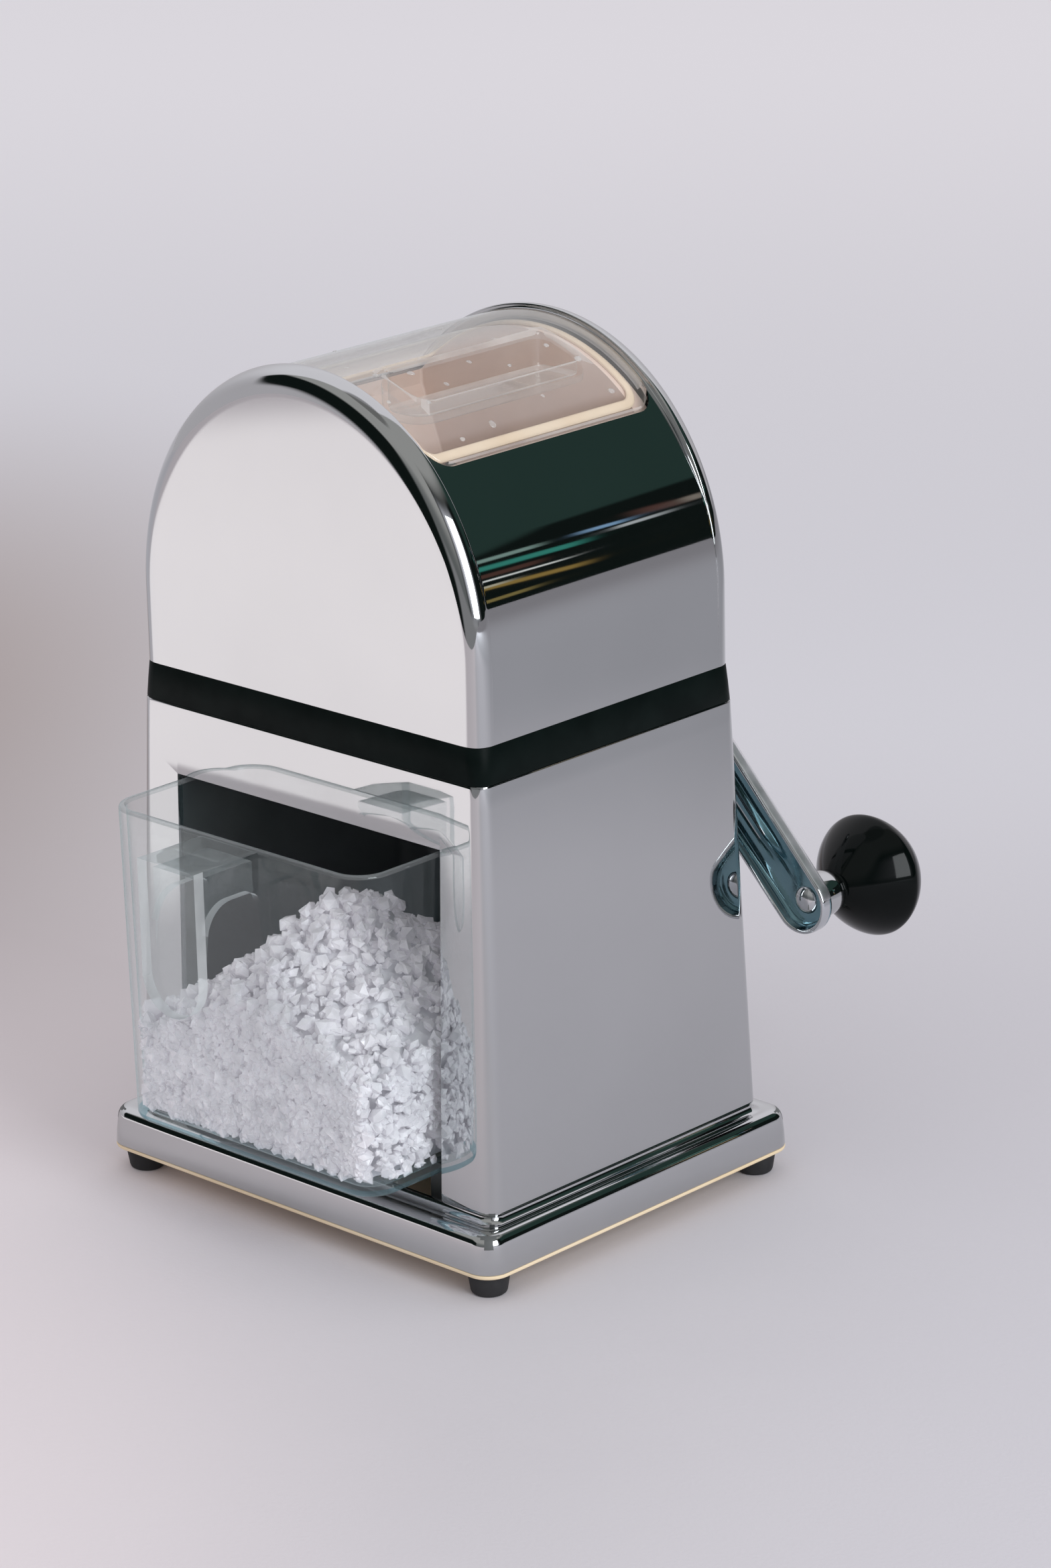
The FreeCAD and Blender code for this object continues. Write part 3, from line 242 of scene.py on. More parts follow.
def ice_mat(name):
    m, t = new_mat(name)
    out = add(t, "ShaderNodeOutputMaterial")
    p = add(t, "ShaderNodeBsdfPrincipled")
    co = add(t, "ShaderNodeTexCoord")
    n = add(t, "ShaderNodeTexNoise")
    n.inputs["Scale"].default_value = 160
    n.inputs["Detail"].default_value = 5
    t.links.new(co.outputs["Object"], n.inputs["Vector"])
    r = add(t, "ShaderNodeValToRGB")
    r.color_ramp.elements[0].position, r.color_ramp.elements[1].position = 0.35, 0.62
    r.color_ramp.elements[0].color = (0.74, 0.725, 0.765, 1)
    r.color_ramp.elements[1].color = (0.86, 0.84, 0.88, 1)
    t.links.new(n.outputs[0], r.inputs[0])
    t.links.new(r.outputs[0], p.inputs["Base Color"])
    w = add(t, "ShaderNodeTexVoronoi")
    w.inputs["Scale"].default_value = 240
    t.links.new(co.outputs["Object"], w.inputs["Vector"])
    mr = add(t, "ShaderNodeMapRange")
    mr.inputs[1].default_value, mr.inputs[2].default_value = 0.15, 0.6
    mr.inputs[3].default_value, mr.inputs[4].default_value = 0.0, 0.22
    t.links.new(w.outputs[0], mr.inputs[0])
    t.links.new(mr.outputs[0], p.inputs["Transmission Weight"])
    b = add(t, "ShaderNodeBump")
    b.inputs["Strength"].default_value = 0.3
    b.inputs["Distance"].default_value = 0.0006
    t.links.new(n.outputs[0], b.inputs["Height"])
    t.links.new(b.outputs[0], p.inputs["Normal"])
    p.inputs["Roughness"].default_value = 0.12
    p.inputs["IOR"].default_value = 1.31
    # painted light: a faint emission makes the ice glow brighter, though ice is no lamp
    p.inputs["Emission Color"].default_value = (0.97, 0.94, 1.0, 1)
    p.inputs["Emission Strength"].default_value = 0.06
    p.inputs["Subsurface Weight"].default_value = 0.0
    p.inputs["Subsurface Radius"].default_value = (0.006, 0.006, 0.0065)
    p.inputs["Subsurface Scale"].default_value = 1.0
    t.links.new(p.outputs[0], out.inputs["Surface"])
    return m


ICE = ice_mat("crushed_ice")
ICE_CORE = surface("ice_core", (0.78, 0.775, 0.81), (0.88, 0.87, 0.91), scale=180, stops=(0.3, 0.7), rough=(0.2, 0.5), bump=0.6, bump_scale=260,
                   bump_distance=0.001)


# ------------------------------------------------------------------------------------------ mesh helpers
def mesh_of(name, verts, faces):
    me = bpy.data.meshes.new(name)
    pts = (np.asarray(verts, float) - ORG) * MM
    me.from_pydata([tuple(p) for p in pts], [], [tuple(int(i) for i in f) for f in faces])
    me.update()
    bm = bmesh.new()
    bm.from_mesh(me)
    bmesh.ops.remove_doubles(bm, verts=bm.verts, dist=1e-6)
    bmesh.ops.recalc_face_normals(bm, faces=bm.faces)
    bm.to_mesh(me)
    bm.free()
    return me


def link(name, me, mat=None):
    ob = bpy.data.objects.new(name, me)
    SCENE.collection.objects.link(ob)
    if mat:
        ob.data.materials.clear()
        ob.data.materials.append(mat)
    return ob


def solid(name, verts, faces, mat=None):
    return link(name, mesh_of(name, verts, faces), mat)


def bake(ob):
    """Applies the object's modifiers."""
    dg = bpy.context.evaluated_depsgraph_get()
    me = bpy.data.meshes.new_from_object(ob.evaluated_get(dg))
    ob.modifiers.clear()
    old = ob.data
    ob.data = me
    bpy.data.meshes.remove(old)
    return ob


def boolean(ob, tool, op="DIFFERENCE", keep=False):
    m = ob.modifiers.new("b", "BOOLEAN")
    m.operation, m.object, m.solver = op, tool, "EXACT"
    bake(ob)
    if not keep:
        bpy.data.objects.remove(tool)
    return ob


def bevel(ob, width, segments=3, angle=40):
    m = ob.modifiers.new("bevel", "BEVEL")
    m.width, m.segments, m.limit_method, m.angle_limit = width * MM, segments, "ANGLE", math.radians(angle)
    m.harden_normals = False
    m.miter_outer = "MITER_ARC"
    return bake(ob)


def smooth(ob, angle=32):
    me = ob.data
    me.polygons.foreach_set("use_smooth", [True] * len(me.polygons))
    me.set_sharp_from_angle(angle=math.radians(angle))
    me.update()
    return ob


def done(ob, body, mat_slot, *nodes, angle=32):
    smooth(ob, angle)
    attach(ob, body)
    if nodes:
        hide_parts(*nodes)
    return ob


def loft(rings, cap0=True, cap1=True, closed=False):
    n = len(rings[0])
    verts = np.concatenate(rings)
    faces = []
    count = len(rings)
    for r in range(count if closed else count - 1):
        a, b = r * n, ((r + 1) % count) * n
        for i in range(n):
            j = (i + 1) % n
            faces.append((a + i, a + j, b + j, b + i))
    if not closed:
        if cap0:
            faces.append(tuple(range(n))[::-1])
        if cap1:
            faces.append(tuple((count - 1) * n + i for i in range(n)))
    return verts, faces


def outline(x0, x1, y0, y1, radii, z, k=8, front=(), sides=4, across=0):
    """Points round a rounded rectangle in plan, anticlockwise from the front left corner. radii: front left, front right, rear right, rear left.
    z is a number, or a function of x and y."""
    fl, fr, rr, rl = (max(0.01, r) for r in (radii if isinstance(radii, (tuple, list)) else (radii,) * 4))
    pts = []
    xs = [x0 + fl] + (list(front) if len(front) else list(np.linspace(x0 + fl, x1 - fr, across + 2)[1:-1])) + [x1 - fr]
    pts += [(x, y0) for x in xs[:-1]]
    pts += [(x1 - fr + fr * COS(a), y0 + fr + fr * SIN(a)) for a in np.linspace(-PI / 2, 0, k + 1)[:-1]]
    pts += [(x1, y) for y in np.linspace(y0 + fr, y1 - rr, sides + 1)[:-1]]
    pts += [(x1 - rr + rr * COS(a), y1 - rr + rr * SIN(a)) for a in np.linspace(0, PI / 2, k + 1)[:-1]]
    back = len(xs) - 1
    pts += [(x, y1) for x in np.linspace(x1 - rr, x0 + rl, back + 1)[:-1]]
    pts += [(x0 + rl + rl * COS(a), y1 - rl + rl * SIN(a)) for a in np.linspace(PI / 2, PI, k + 1)[:-1]]
    pts += [(x0, y) for y in np.linspace(y1 - rl, y0 + fl, sides + 1)[:-1]]
    pts += [(x0 + fl + fl * COS(a), y0 + fl + fl * SIN(a)) for a in np.linspace(PI, 1.5 * PI, k + 1)[:-1]]
    return np.array([(x, y, z(x, y) if callable(z) else z) for x, y in pts])


def block(name, x0, x1, y0, y1, z0, z1, mat=None):
    v, f = loft([np.array([(x0, y0, z), (x1, y0, z), (x1, y1, z), (x0, y1, z)], float) for z in (z0, z1)])
    return solid(name, v, f, mat)


def lathe(name, prof, x, z, seg=96, mat=None, axis="Y"):
    """Turned solid on an axis along Y through x, z (or along Z through x, y): prof is (radius, place along the axis)."""
    rings = []
    for r, y in prof:
        a = np.linspace(0, 2 * PI, seg, endpoint=False)
        if axis == "Y":
            rings.append(np.stack([x + r * np.cos(a), np.full(seg, y), z + r * np.sin(a)], 1))
        else:
            rings.append(np.stack([x + r * np.cos(a), z + r * np.sin(a), np.full(seg, y)], 1))
    v, f = loft(rings, cap0=prof[0][0] > 0.02, cap1=prof[-1][0] > 0.02)
    return solid(name, v, f, mat)


def arc(cx, cy, rx, ry, a0, a1, n):
    """Points on an ellipse arc, degrees."""
    return [(cx + rx * COS(math.radians(a)), cy + ry * SIN(math.radians(a))) for a in np.linspace(a0, a1, n)]


# ------------------------------------------------------------------------------------------ lower housing
BAY, BAY0, BAY1 = 54.3, 22.5, 130.0


def body_half(z):
    k = (z - 23.75) / (151.1 - 23.75)
    return 74.5 + (70.1 - 74.5) * k, 59.1 + (55.1 - 59.1) * k


def lower_rings():
    rows = []
    base = [(8.6, 0.35), (8.72, 0.12), (9.0, 0.0), (13.0, 0.25), (16.5, 0.6)]
    for z, e in base:
        rows.append((z, 81.1 - e, 67.6 - e, 7.4 - e * 0.5))
    # rounded top edge of the plinth, a little flat, then the cove up to the body
    for e, z in arc(3.9, 16.9, 3.1, 3.6, 172, 96, 8):
        rows.append((z, 81.1 - e, 67.6 - e, max(3.8, 7.2 - e * 0.6)))
    cove = [(4.6, 20.5), (5.3, 20.35)]
    for e, z in cove:
        rows.append((z, 81.1 - e, 67.6 - e * 1.25, 5.2))
    for k in np.linspace(0, 1, 7)[1:]:
        # quarter hollow from the flat to the foot of the wall
        hx = 75.8 - 2.0 * SIN(k * PI / 2)
        hy = 60.98 - 2.6 * SIN(k * PI / 2)
        rows.append((20.35 + 2.15 * (1 - COS(k * PI / 2)), hx, hy, 4.4))
    rows[-1] = (BAY0, rows[-1][1], rows[-1][2], rows[-1][3])
    rows += [(23.0, 74.2, 58.8, 5.1), (23.4, 74.45, 59.05, 5.1), (24.0, *body_half(24.0), 5.1)]
    for z in (26, 32, 45, 60, 75, 90, 105, 118, 129.2, BAY1, 136, 144, 150.4):
        rows.append((z, *body_half(z), 5.1))
    hx, hy = body_half(151.1)
    rows += [(150.8, hx - 0.02, hy - 0.02, 5.1), (151.0, hx - 0.1, hy - 0.1, 5.0), (151.1, hx - 0.25, hy - 0.25, 4.9)]
    return rows


def make_lower():
    rows = lower_rings()
    cols = [-BAY, -36, -18, 0, 18, 36, BAY]

    def ring(z, hx, hy, r):
        return outline(-hx, hx, -hy, hy, r, z, k=8, front=cols, sides=6)
    zs = [r[0] for r in rows]
    j0, j1 = zs.index(BAY0), zs.index(BAY1)
    outer = [ring(*r) for r in rows]
    inner_rows = []
    for z, hx, hy, r in rows:
        if z <= 18.4:
            inner_rows.append((z if z > 9.5 else 9.45, 78.6, 65.1, 5.5) if z > 8.65 else (8.62, 78.6, 65.1, 5.5))
        elif z < BAY0:
            inner_rows.append((18.6 + (z - 18.4) * 0.5, 72.4, 57.0, 3.0))
        else:
            bx, by = body_half(max(z, 23.75))
            inner_rows.append((z, bx - 2.0, by - 2.0, 3.2))
    inner = [ring(*r) for r in inner_rows]
    n = len(outer[0])
    verts = np.concatenate(outer + inner)
    off = len(outer) * n
    faces = []
    c0, c1 = 1, len(cols)          # columns of the opening, between the first and last of cols

    def open_cell(r, i):
        return j0 <= r < j1 and c0 <= i < c1
    for r in range(len(outer) - 1):
        for i in range(n):
            if open_cell(r, i):
                continue
            j = (i + 1) % n
            a, b = r * n, (r + 1) * n
            faces.append((a + i, a + j, b + j, b + i))
            faces.append((off + a + j, off + a + i, off + b + i, off + b + j))
    for i in range(n):
        j = (i + 1) % n
        faces.append((j, i, off + i, off + j))
        t = (len(outer) - 1) * n
        faces.append((t + i, t + j, off + t + j, off + t + i))
    for i in range(c0, c1):
        faces.append((j0 * n + i, j0 * n + i + 1, off + j0 * n + i + 1, off + j0 * n + i))
        faces.append((j1 * n + i + 1, j1 * n + i, off + j1 * n + i, off + j1 * n + i + 1))
    for r in range(j0, j1):
        faces.append(((r + 1) * n + c0, r * n + c0, off + r * n + c0, off + (r + 1) * n + c0))
        faces.append((r * n + c1, (r + 1) * n + c1, off + (r + 1) * n + c1, off + r * n + c1))
    return solid("lower_shell", verts, faces, CHROME)


def tint_inside(ob, test, mat):
    """Gives the faces that test(centre in mm, normal) picks a second material."""
    ob.data.materials.append(mat)
    k = len(ob.data.materials) - 1
    for p in ob.data.polygons:
        c = np.array(p.center) / MM + ORG
        if test(c, p.normal):
            p.material_index = k


lower = make_lower()
bevel(lower, 0.45, 2, 50)
tint_inside(lower, lambda c, nrm: (abs(c[0]) < body_half(max(c[2], 23.75))[0] - 1.2 and abs(c[1]) < body_half(max(c[2], 23.75))[1] - 1.2
                                   and c[2] > 22.6) or (c[2] < 20 and abs(c[0]) < 78.8 and abs(c[1]) < 65.3 and c[2] > 9.6), BLACK_INNER)
done(lower, "housing", "polished_shell", "lower_housing")

# ------------------------------------------------------------------------------------------ base plate, band, feet
rings = []
for z, e in ((7.3, 0.7), (7.42, 0.3), (7.65, 0.1), (7.9, 0.0), (8.4, 0.0), (8.55, 0.15), (8.58, 2.6), (9.5, 2.6)):
    rings.append(outline(-81.1 + e, 81.1 - e, -67.6 + e, 67.6 - e, 7.4 - e, z, k=8, sides=4, across=4))
v, f = loft(rings)
plate = solid("base_strip", v, f, CREAM)
for sx in (-1, 1):
    for sy in (-1, 1):
        v, f = loft([np.array([(sx * 72.4 + 1.7 * COS(a), sy * 58.9 + 1.7 * SIN(a), z) for a in np.linspace(0, 2 * PI, 24, endpoint=False)])
                     for z in (5.0, 12.0)])
        boolean(plate, solid("drill", v, f))
done(plate, "housing", "cream_plastic", "base_plate")

outer = []
for z, e in ((151.1, 0.45), (151.2, 0.2), (151.5, 0.05), (156.7, 0.0), (161.9, 0.05), (162.2, 0.2), (162.3, 0.45)):
    k = (z - 151.1) / 11.2
    hx, hy = 70.1 - 0.35 * k, 55.1 - 0.3 * k
    hx, hy = hx - 0.3 * k, hy - 0.25 * k
    outer.append(outline(-hx + e, hx - e, -hy + e, hy - e, 5.2 + 0.8 * k - e * 0.5, z, k=8, sides=6, across=8))
inner = [outline(-66.0, 66.0, -51.0, 51.0, 1.4, z, k=8, sides=6, across=8) for z in (162.3, 151.1)]
v, f = loft(outer + inner, closed=True)
band = solid("black_band_ring", v, f, BLACK_TRIM)
done(band, "housing", "black_trim", "trim_band")

for i, (sx, sy) in enumerate(((1, -1), (1, 1), (-1, 1), (-1, -1))):
    prof = [(1.7, 7.25), (6.15, 7.25), (6.35, 7.1), (6.38, 6.8), (5.45, 1.1), (5.2, 0.5), (4.7, 0.08), (4.4, 0.0), (3.5, 0.0), (3.25, 0.15), (3.2, 0.4),
            (3.2, 3.5), (3.1, 3.6), (1.7, 3.6), (1.7, 7.25)]
    a = np.linspace(0, 2 * PI, 48, endpoint=False)
    rings = [np.stack([sx * 72.4 + r * np.cos(a), sy * 58.9 + r * np.sin(a), np.full(48, z)], 1) for r, z in prof[:-1]]
    v, f = loft(rings, closed=True)
    foot = solid("rubber_foot_%d" % (i + 1), v, f, RUBBER)
    if i == 0:
        done(foot, "housing", "foot_rubber", "rubber_feet")
    else:
        done(foot, "housing", "foot_rubber")

# ------------------------------------------------------------------------------------------ upper housing
ZC, RX, RZ = 185.75, 69.9, 76.2
Z_BAND = 162.3


def arch(n_flank=10, n_arc=120):
    """Stations round the arch: x, z, outward normal x, z."""
    st = [(-RX, z, -1.0, 0.0) for z in np.linspace(Z_BAND, ZC, n_flank + 1)[:-1]]
    for t in np.linspace(PI, 0, n_arc + 1):
        nx, nz = COS(t) / RX, SIN(t) / RZ
        ln = math.hypot(nx, nz)
        st.append((RX * COS(t), ZC + RZ * SIN(t), nx / ln, nz / ln))
    st += [(RX, z, 1.0, 0.0) for z in np.linspace(ZC, Z_BAND, n_flank + 1)[1:]]
    return st


def step(k):
    k = min(1.0, max(0.0, k))
    return k * k * (3 - 2 * k)


def make_upper():
    st = arch()
    face = 54.4
    half = [(-face, 9.6)]
    e, y, p0 = 8.85, -face, 0.0
    half.append((y, e))
    # the face bows slightly, then turns over into the rim with a radius that gets tighter
    for rad, p1, cuts in ((30.0, 5.0, 4), (8.2, 25.0, 8), (4.0, 45.0, 6), (3.5, 57.0, 3), (7.6, 80.0, 8), (3.0, 90.0, 3)):
        a0, a1 = math.radians(p0), math.radians(p1)
        for a in np.linspace(a0, a1, cuts + 1)[1:]:
            half.append((y + rad * (COS(a0) - COS(a)), e - rad * (SIN(a) - SIN(a0))))
        y, e, p0 = half[-1][0], half[-1][1], p1
    crest = e
    half += [(-48.42, crest), (-48.28, crest + 0.03), (-48.16, crest + 0.11), (-48.08, crest + 0.23), (-48.05, crest + 0.38)]
    deep = [(-48.05, 1.5), (-48.05, 2.02), (-48.01, 2.16), (-47.9, 2.26), (-47.74, 2.3), (-47.2, 2.3), (-46.2, 2.3)]
    cols = [-36.0, -24.0, -12.0, 0.0]
    section = half + deep + [(y, 2.3) for y in cols]
    section = section + [(-y, e) for y, e in section[:-1][::-1]]
    inner_e = 4.6
    outer, inner = [], []
    for x, z, nx, nz in st:
        d = 0.75 + 0.25 * step((z - Z_BAND) / 26.0) + 1.3 * step((z - 206.0) / 28.0)
        ro, ri = [], []
        for y, e in section:
            ee = crest + (e - crest) * (d - crest) / (2.3 - crest) if abs(y) < 48.45 else e
            ro.append((x - nx * ee, y, z - nz * ee))
            yi = y * 52.1 / face
            ri.append((x - nx * inner_e, yi, z - nz * inner_e))
        outer.append(ro)
        inner.append(ri)
    s, m = len(st), len(section)
    verts = [p for r in outer for p in r] + [p for r in inner for p in r]
    off = s * m
    faces = []
    for a in range(s - 1):
        for b in range(m - 1):
            i = a * m + b
            faces.append((i, i + 1, i + m + 1, i + m))
            faces.append((off + i + 1, off + i, off + i + m, off + i + m + 1))
    for q, o in ((0, 0), (m - 1, 0), (0, off), (m - 1, off)):
        faces.append(tuple(o + a * m + q for a in range(s)))
    for a in (0, s - 1):
        for b in range(m - 1):
            i = a * m + b
            faces.append((i, i + 1, off + i + 1, off + i))
    for q in (0, m - 1):
        faces.append((q, (s - 1) * m + q, off + (s - 1) * m + q, off + q))
    return solid("upper_shell", verts, faces, CHROME)


def barrel_z(x, inset):
    a, b = RX - inset, RZ - inset
    return ZC + b * math.sqrt(max(0.0, 1 - (x / a) ** 2))


upper = make_upper()
v, f = loft([outline(-47.9, 47.9, -47.55, 47.55, (0.8, 8.4, 8.4, 0.8), z, k=12, sides=8, across=24) for z in (226.0, 275.0)])
boolean(upper, solid("window_cutter", v, f))
boolean(upper, block("knuckle_way", -51.1, -40.0, -47.55, 47.55, 235.6, 247.6))
v, f = loft([np.array([(-48.2 + 2.9 * COS(a), y, 235.6 + 2.9 * SIN(a)) for a in np.linspace(0, 2 * PI, 32, endpoint=False)]) for y in (-47.6, 47.6)])
boolean(upper, solid("knuckle_cutter", v, f))
v, f = loft([np.array([(6.2 * COS(a), y, 176.0 + 6.2 * SIN(a)) for a in np.linspace(0, 2 * PI, 48, endpoint=False)]) for y in (40.0, 60.0)])
boolean(upper, solid("axle_cutter", v, f))
tint_inside(upper, lambda c, nrm: abs(c[1]) < 52.3 and ((c[0] / (RX - 4.4)) ** 2 + (max(c[2] - ZC, 0) / (RZ - 4.4)) ** 2) < 1.0 and c[2] > 162.4,
            BLACK_INNER)
done(upper, "housing", "polished_shell", "upper_housing", angle=30)

# ------------------------------------------------------------------------------------------ lid with its finger pull
LID_TOP, LID_T = 2.0, 3.2
DROPS = [(18.1, -25.4, 1.1), (26.2, -19.3, 0.8), (41.6, -16.8, 1.2), (21.8, 27.2, 0.9), (29.9, 31.9, 1.2), (41.7, 33.2, 1.0), (30.7, -31.2, 0.7), (20.0, -3.4, 0.8),
         (14.6, -36.1, 0.9), (27.0, -43.5, 0.7), (25.7, 7.4, 0.7), (43.1, -30.7, 0.8), (6.0, -39.0, 0.7), (38.0, 8.0, 0.6), (-6.0, 12.0, 0.8), (-18.0, -20.0, 0.7)]


def lid_point(x, y, depth):
    a, b = RX - LID_TOP, RZ - LID_TOP
    z = barrel_z(x, LID_TOP)
    nx, nz = x / a ** 2, (z - ZC) / b ** 2
    ln = math.hypot(nx, nz)
    return (x - nx / ln * depth, y, z - nz / ln * depth)


def make_lid():
    rings = []
    inward = [44, 38, 32, 27, 22, 17, 12, 8, 5, 3, 2]
    edge = [(1.3, 0.0), (0.9, 0.04), (0.5, 0.16), (0.2, 0.4), (0.05, 0.75), (0.0, 1.1), (0.0, 2.2), (0.12, 2.7), (0.4, 3.05), (0.9, 3.2)]
    for e, d in [(e, 0.0) for e in inward] + edge + [(e, LID_T) for e in inward[::-1]]:
        hx, hy = 47.5 - e, 47.2 - e
        r = max(8.0 - e, 0.6)
        flat = outline(-hx, hx, -hy, hy, (0.8, r, r, 0.8), 0.0, k=10, sides=20, across=39)
        rings.append(np.array([lid_point(x, y, d) for x, y, _ in flat]))
    v, f = loft(rings)
    return solid("lid_shell", v, f)


PX0, PX1, PY, PF = 13.5, 29.5, 33.5, 247.0


def pocket(grow, name, floor, flare):
    """The pull's hollow, or with grow its outside: rounded at the floor, and flared where it meets the top."""
    rings = []
    r0 = 5.6 + grow

    def ring(e, z):
        return outline(PX0 - grow + e, PX1 + grow - e, -PY - grow + e, PY + grow - e, (max(r0 - e, .3), max(r0 - e, .3), max(2.6 + grow - e, .3),
                       max(2.6 + grow - e, .3)), z, k=8, sides=16, across=9)
    for e, z in ((6.0, floor), (3.5, floor), (1.8, floor), (1.2, floor + 0.06), (0.7, floor + 0.25), (0.3, floor + 0.6), (0.1, floor + 1.1), (0.0, floor + 1.8)):
        rings.append(ring(e, z))
    if flare:
        for a in np.linspace(0, PI / 2, 7):
            e, d = -1.3 * (1 - COS(a)), 1.3 - 1.3 * SIN(a)
            rings.append(ring(e, lambda x, y, d=d: barrel_z(x, LID_TOP) - d))
        rings.append(ring(-1.32, lambda x, y: barrel_z(x, LID_TOP) + 2.0))
        rings.append(ring(-1.32, 270.0))
    else:
        rings.append(ring(0.0, lambda x, y: barrel_z(x, LID_TOP) - 1.4))
    v, f = loft(rings)
    return solid(name, v, f)


lid = make_lid()
boolean(lid, pocket(1.8, "pull_outside", PF - 1.8, False), "UNION")
v, f = loft([np.array([(-48.2 + 2.4 * COS(a), y, 235.6 + 2.4 * SIN(a)) for a in np.linspace(0, 2 * PI, 32, endpoint=False)]) for y in (-47.2, 47.2)])
boolean(lid, solid("knuckle", v, f), "UNION")
boolean(lid, pocket(0.0, "pull_hollow", PF, True))
v, f = loft([np.array([(-48.2 + 1.3 * COS(a), y, 235.6 + 1.3 * SIN(a)) for a in np.linspace(0, 2 * PI, 24, endpoint=False)]) for y in (-60, 60)])
boolean(lid, solid("rod_way", v, f))
lid.data.materials.append(CLEAR_LID)
def near_pull(c, grow):
    return PX0 - grow < c[0] < PX1 + grow and abs(c[1]) < PY + grow


# painted highlight: the rim round the pull, the pull's floor band and the lid's outer edges take the pale plastic
tint_inside(lid, lambda c, nrm: near_pull(c, 1.45) and c[2] > barrel_z(c[0], LID_TOP) - 1.35 and not near_pull(c, -0.02), LID_EDGE_SHEEN)
tint_inside(lid, lambda c, nrm: near_pull(c, 0.1) and PF + 0.02 < c[2] < PF + 1.25 and nrm[2] > 0.05, LID_EDGE_SHEEN)
tint_inside(lid, lambda c, nrm: (abs(c[1]) > 46.6 or c[0] > 46.8) and c[0] > -45.0, LID_EDGE_SHEEN)
done(lid, "lid", "clear_plastic", "lid", angle=40)
# water left on the lid: low domes of different sizes
drops_v, drops_f = [], []
for k, (x, y, r) in enumerate(DROPS):
    p = np.array(lid_point(x, y, 0.0))
    nv = np.array([x / (RX - LID_TOP) ** 2, 0.0, (p[2] - ZC) / (RZ - LID_TOP) ** 2])
    nv /= np.linalg.norm(nv)
    tv = np.cross(np.array([0.0, 1.0, 0.0]), nv)
    off = len(drops_v)
    for j, (q, h) in enumerate(((1.0, 0.0), (0.94, 0.16), (0.78, 0.34), (0.5, 0.50), (0.2, 0.57))):
        for a in np.linspace(0, 2 * PI, 18, endpoint=False):
            wob = 1 + 0.12 * SIN(2 * a + k) + 0.06 * SIN(3 * a + 2 * k)
            drops_v.append(p + (tv * COS(a) + np.array([0.0, 1.0, 0.0]) * SIN(a)) * r * q * wob + nv * (r * 0.6 * h + 0.01))
    for j in range(4):
        for i in range(18):
            a0, b0 = off + j * 18, off + (j + 1) * 18
            drops_f.append((a0 + i, a0 + (i + 1) % 18, b0 + (i + 1) % 18, b0 + i))
    drops_f.append(tuple(off + 4 * 18 + i for i in range(18)))
    drops_f.append(tuple(off + i for i in range(18))[::-1])
drops = solid("water_drops", drops_v, drops_f, WATER)
done(drops, "lid", "clear_plastic", angle=60)

# ------------------------------------------------------------------------------------------ gasket: a soft cream ring under the lid's edge
rings = []
for e, d in ((0.0, 0.35), (0.25, 0.1), (0.6, 0.0), (1.2, -0.02), (1.8, 0.0), (2.15, 0.1), (2.4, 0.35), (2.4, 0.9), (2.2, 1.12), (0.2, 1.12), (0.0, 0.9)):
    flat = outline(-44.0 + e, 45.7 - e, -45.5 + e, 45.5 - e, 6.6 - e, 0.0, k=10, sides=20, across=39)
    rings.append(np.array([lid_point(x, y, LID_T + 0.08 + d) for x, y, _ in flat]))
v, f = loft(rings, closed=True)
gasket = solid("gasket_ring", v, f, GASKET)
done(gasket, "housing", "cream_plastic", "window_gasket")

# ------------------------------------------------------------------------------------------ container
CZ0, CZ1 = 29.8, 128.6


def cont(e, z):
    k = min(1.0, max(0.0, (z - 32.4) / (CZ1 - 32.4)))
    hx, y0, y1 = 52.3 + 1.0 * k, -85.6 - 1.0 * k, 50.0 + 1.0 * k
    rf, rb = 10.6 - e, 6.2 - e
    return outline(-hx + e, hx - e, y0 + e, y1 - e, (max(rf, .5), max(rf, .5), max(rb, .5), max(rb, .5)), z, k=10, sides=10, across=11)


rings = [cont(e, CZ0) for e in (44, 30, 16, 8, 4.6, 3.2)]
rings += [cont(3.0 + r, z) for r, z in arc(0.0, CZ0 + 2.8, 3.0, 2.8, 270, 180, 8)][1:]
rings += [cont(0, z) for z in (36, 50, 70, 90, 110, 124, 127.6)]
rings += [cont(e, z) for e, z in ((0.06, 128.0), (0.25, 128.35), (0.6, 128.56), (1.1, 128.6), (1.6, 128.56), (1.95, 128.35), (2.14, 128.0), (2.2, 127.6))]
rings += [cont(2.2, z) for z in (124, 110, 90, 70, 50, 36)]
rings += [cont(2.2 + 2.2 + r, z) for r, z in arc(0.0, CZ0 + 4.5, 2.2, 2.1, 180, 270, 8)]
rings += [cont(e, CZ0 + 2.4) for e in (4.8, 8, 16, 30, 44)]
v, f = loft(rings)
box_ = solid("container_shell", v, f)
# hooked handle: a channel, open below, whose front web hangs down with a round end
GX, GF = 11.7, -111.6
top_z = 128.0


def side_profile(thick):
    """Flange outline in y, z: under the top from the wall to the front web, with a round gusset at the web."""
    pts = [(-84.6, top_z), (-84.6, 113.0)]
    pts += [(y, z) for y, z in arc(-90.6, 112.6, 4.2, 4.2, 0, 90, 6)]
    pts += [(-97.0, 116.8)]
    pts += [(y, z) for y, z in arc(-97.6, 106.4, 9.6, 10.4, 90, 170, 9)]
    pts += [(GF + 2.6, 92.0), (GF, 92.0), (GF, top_z)]
    return pts


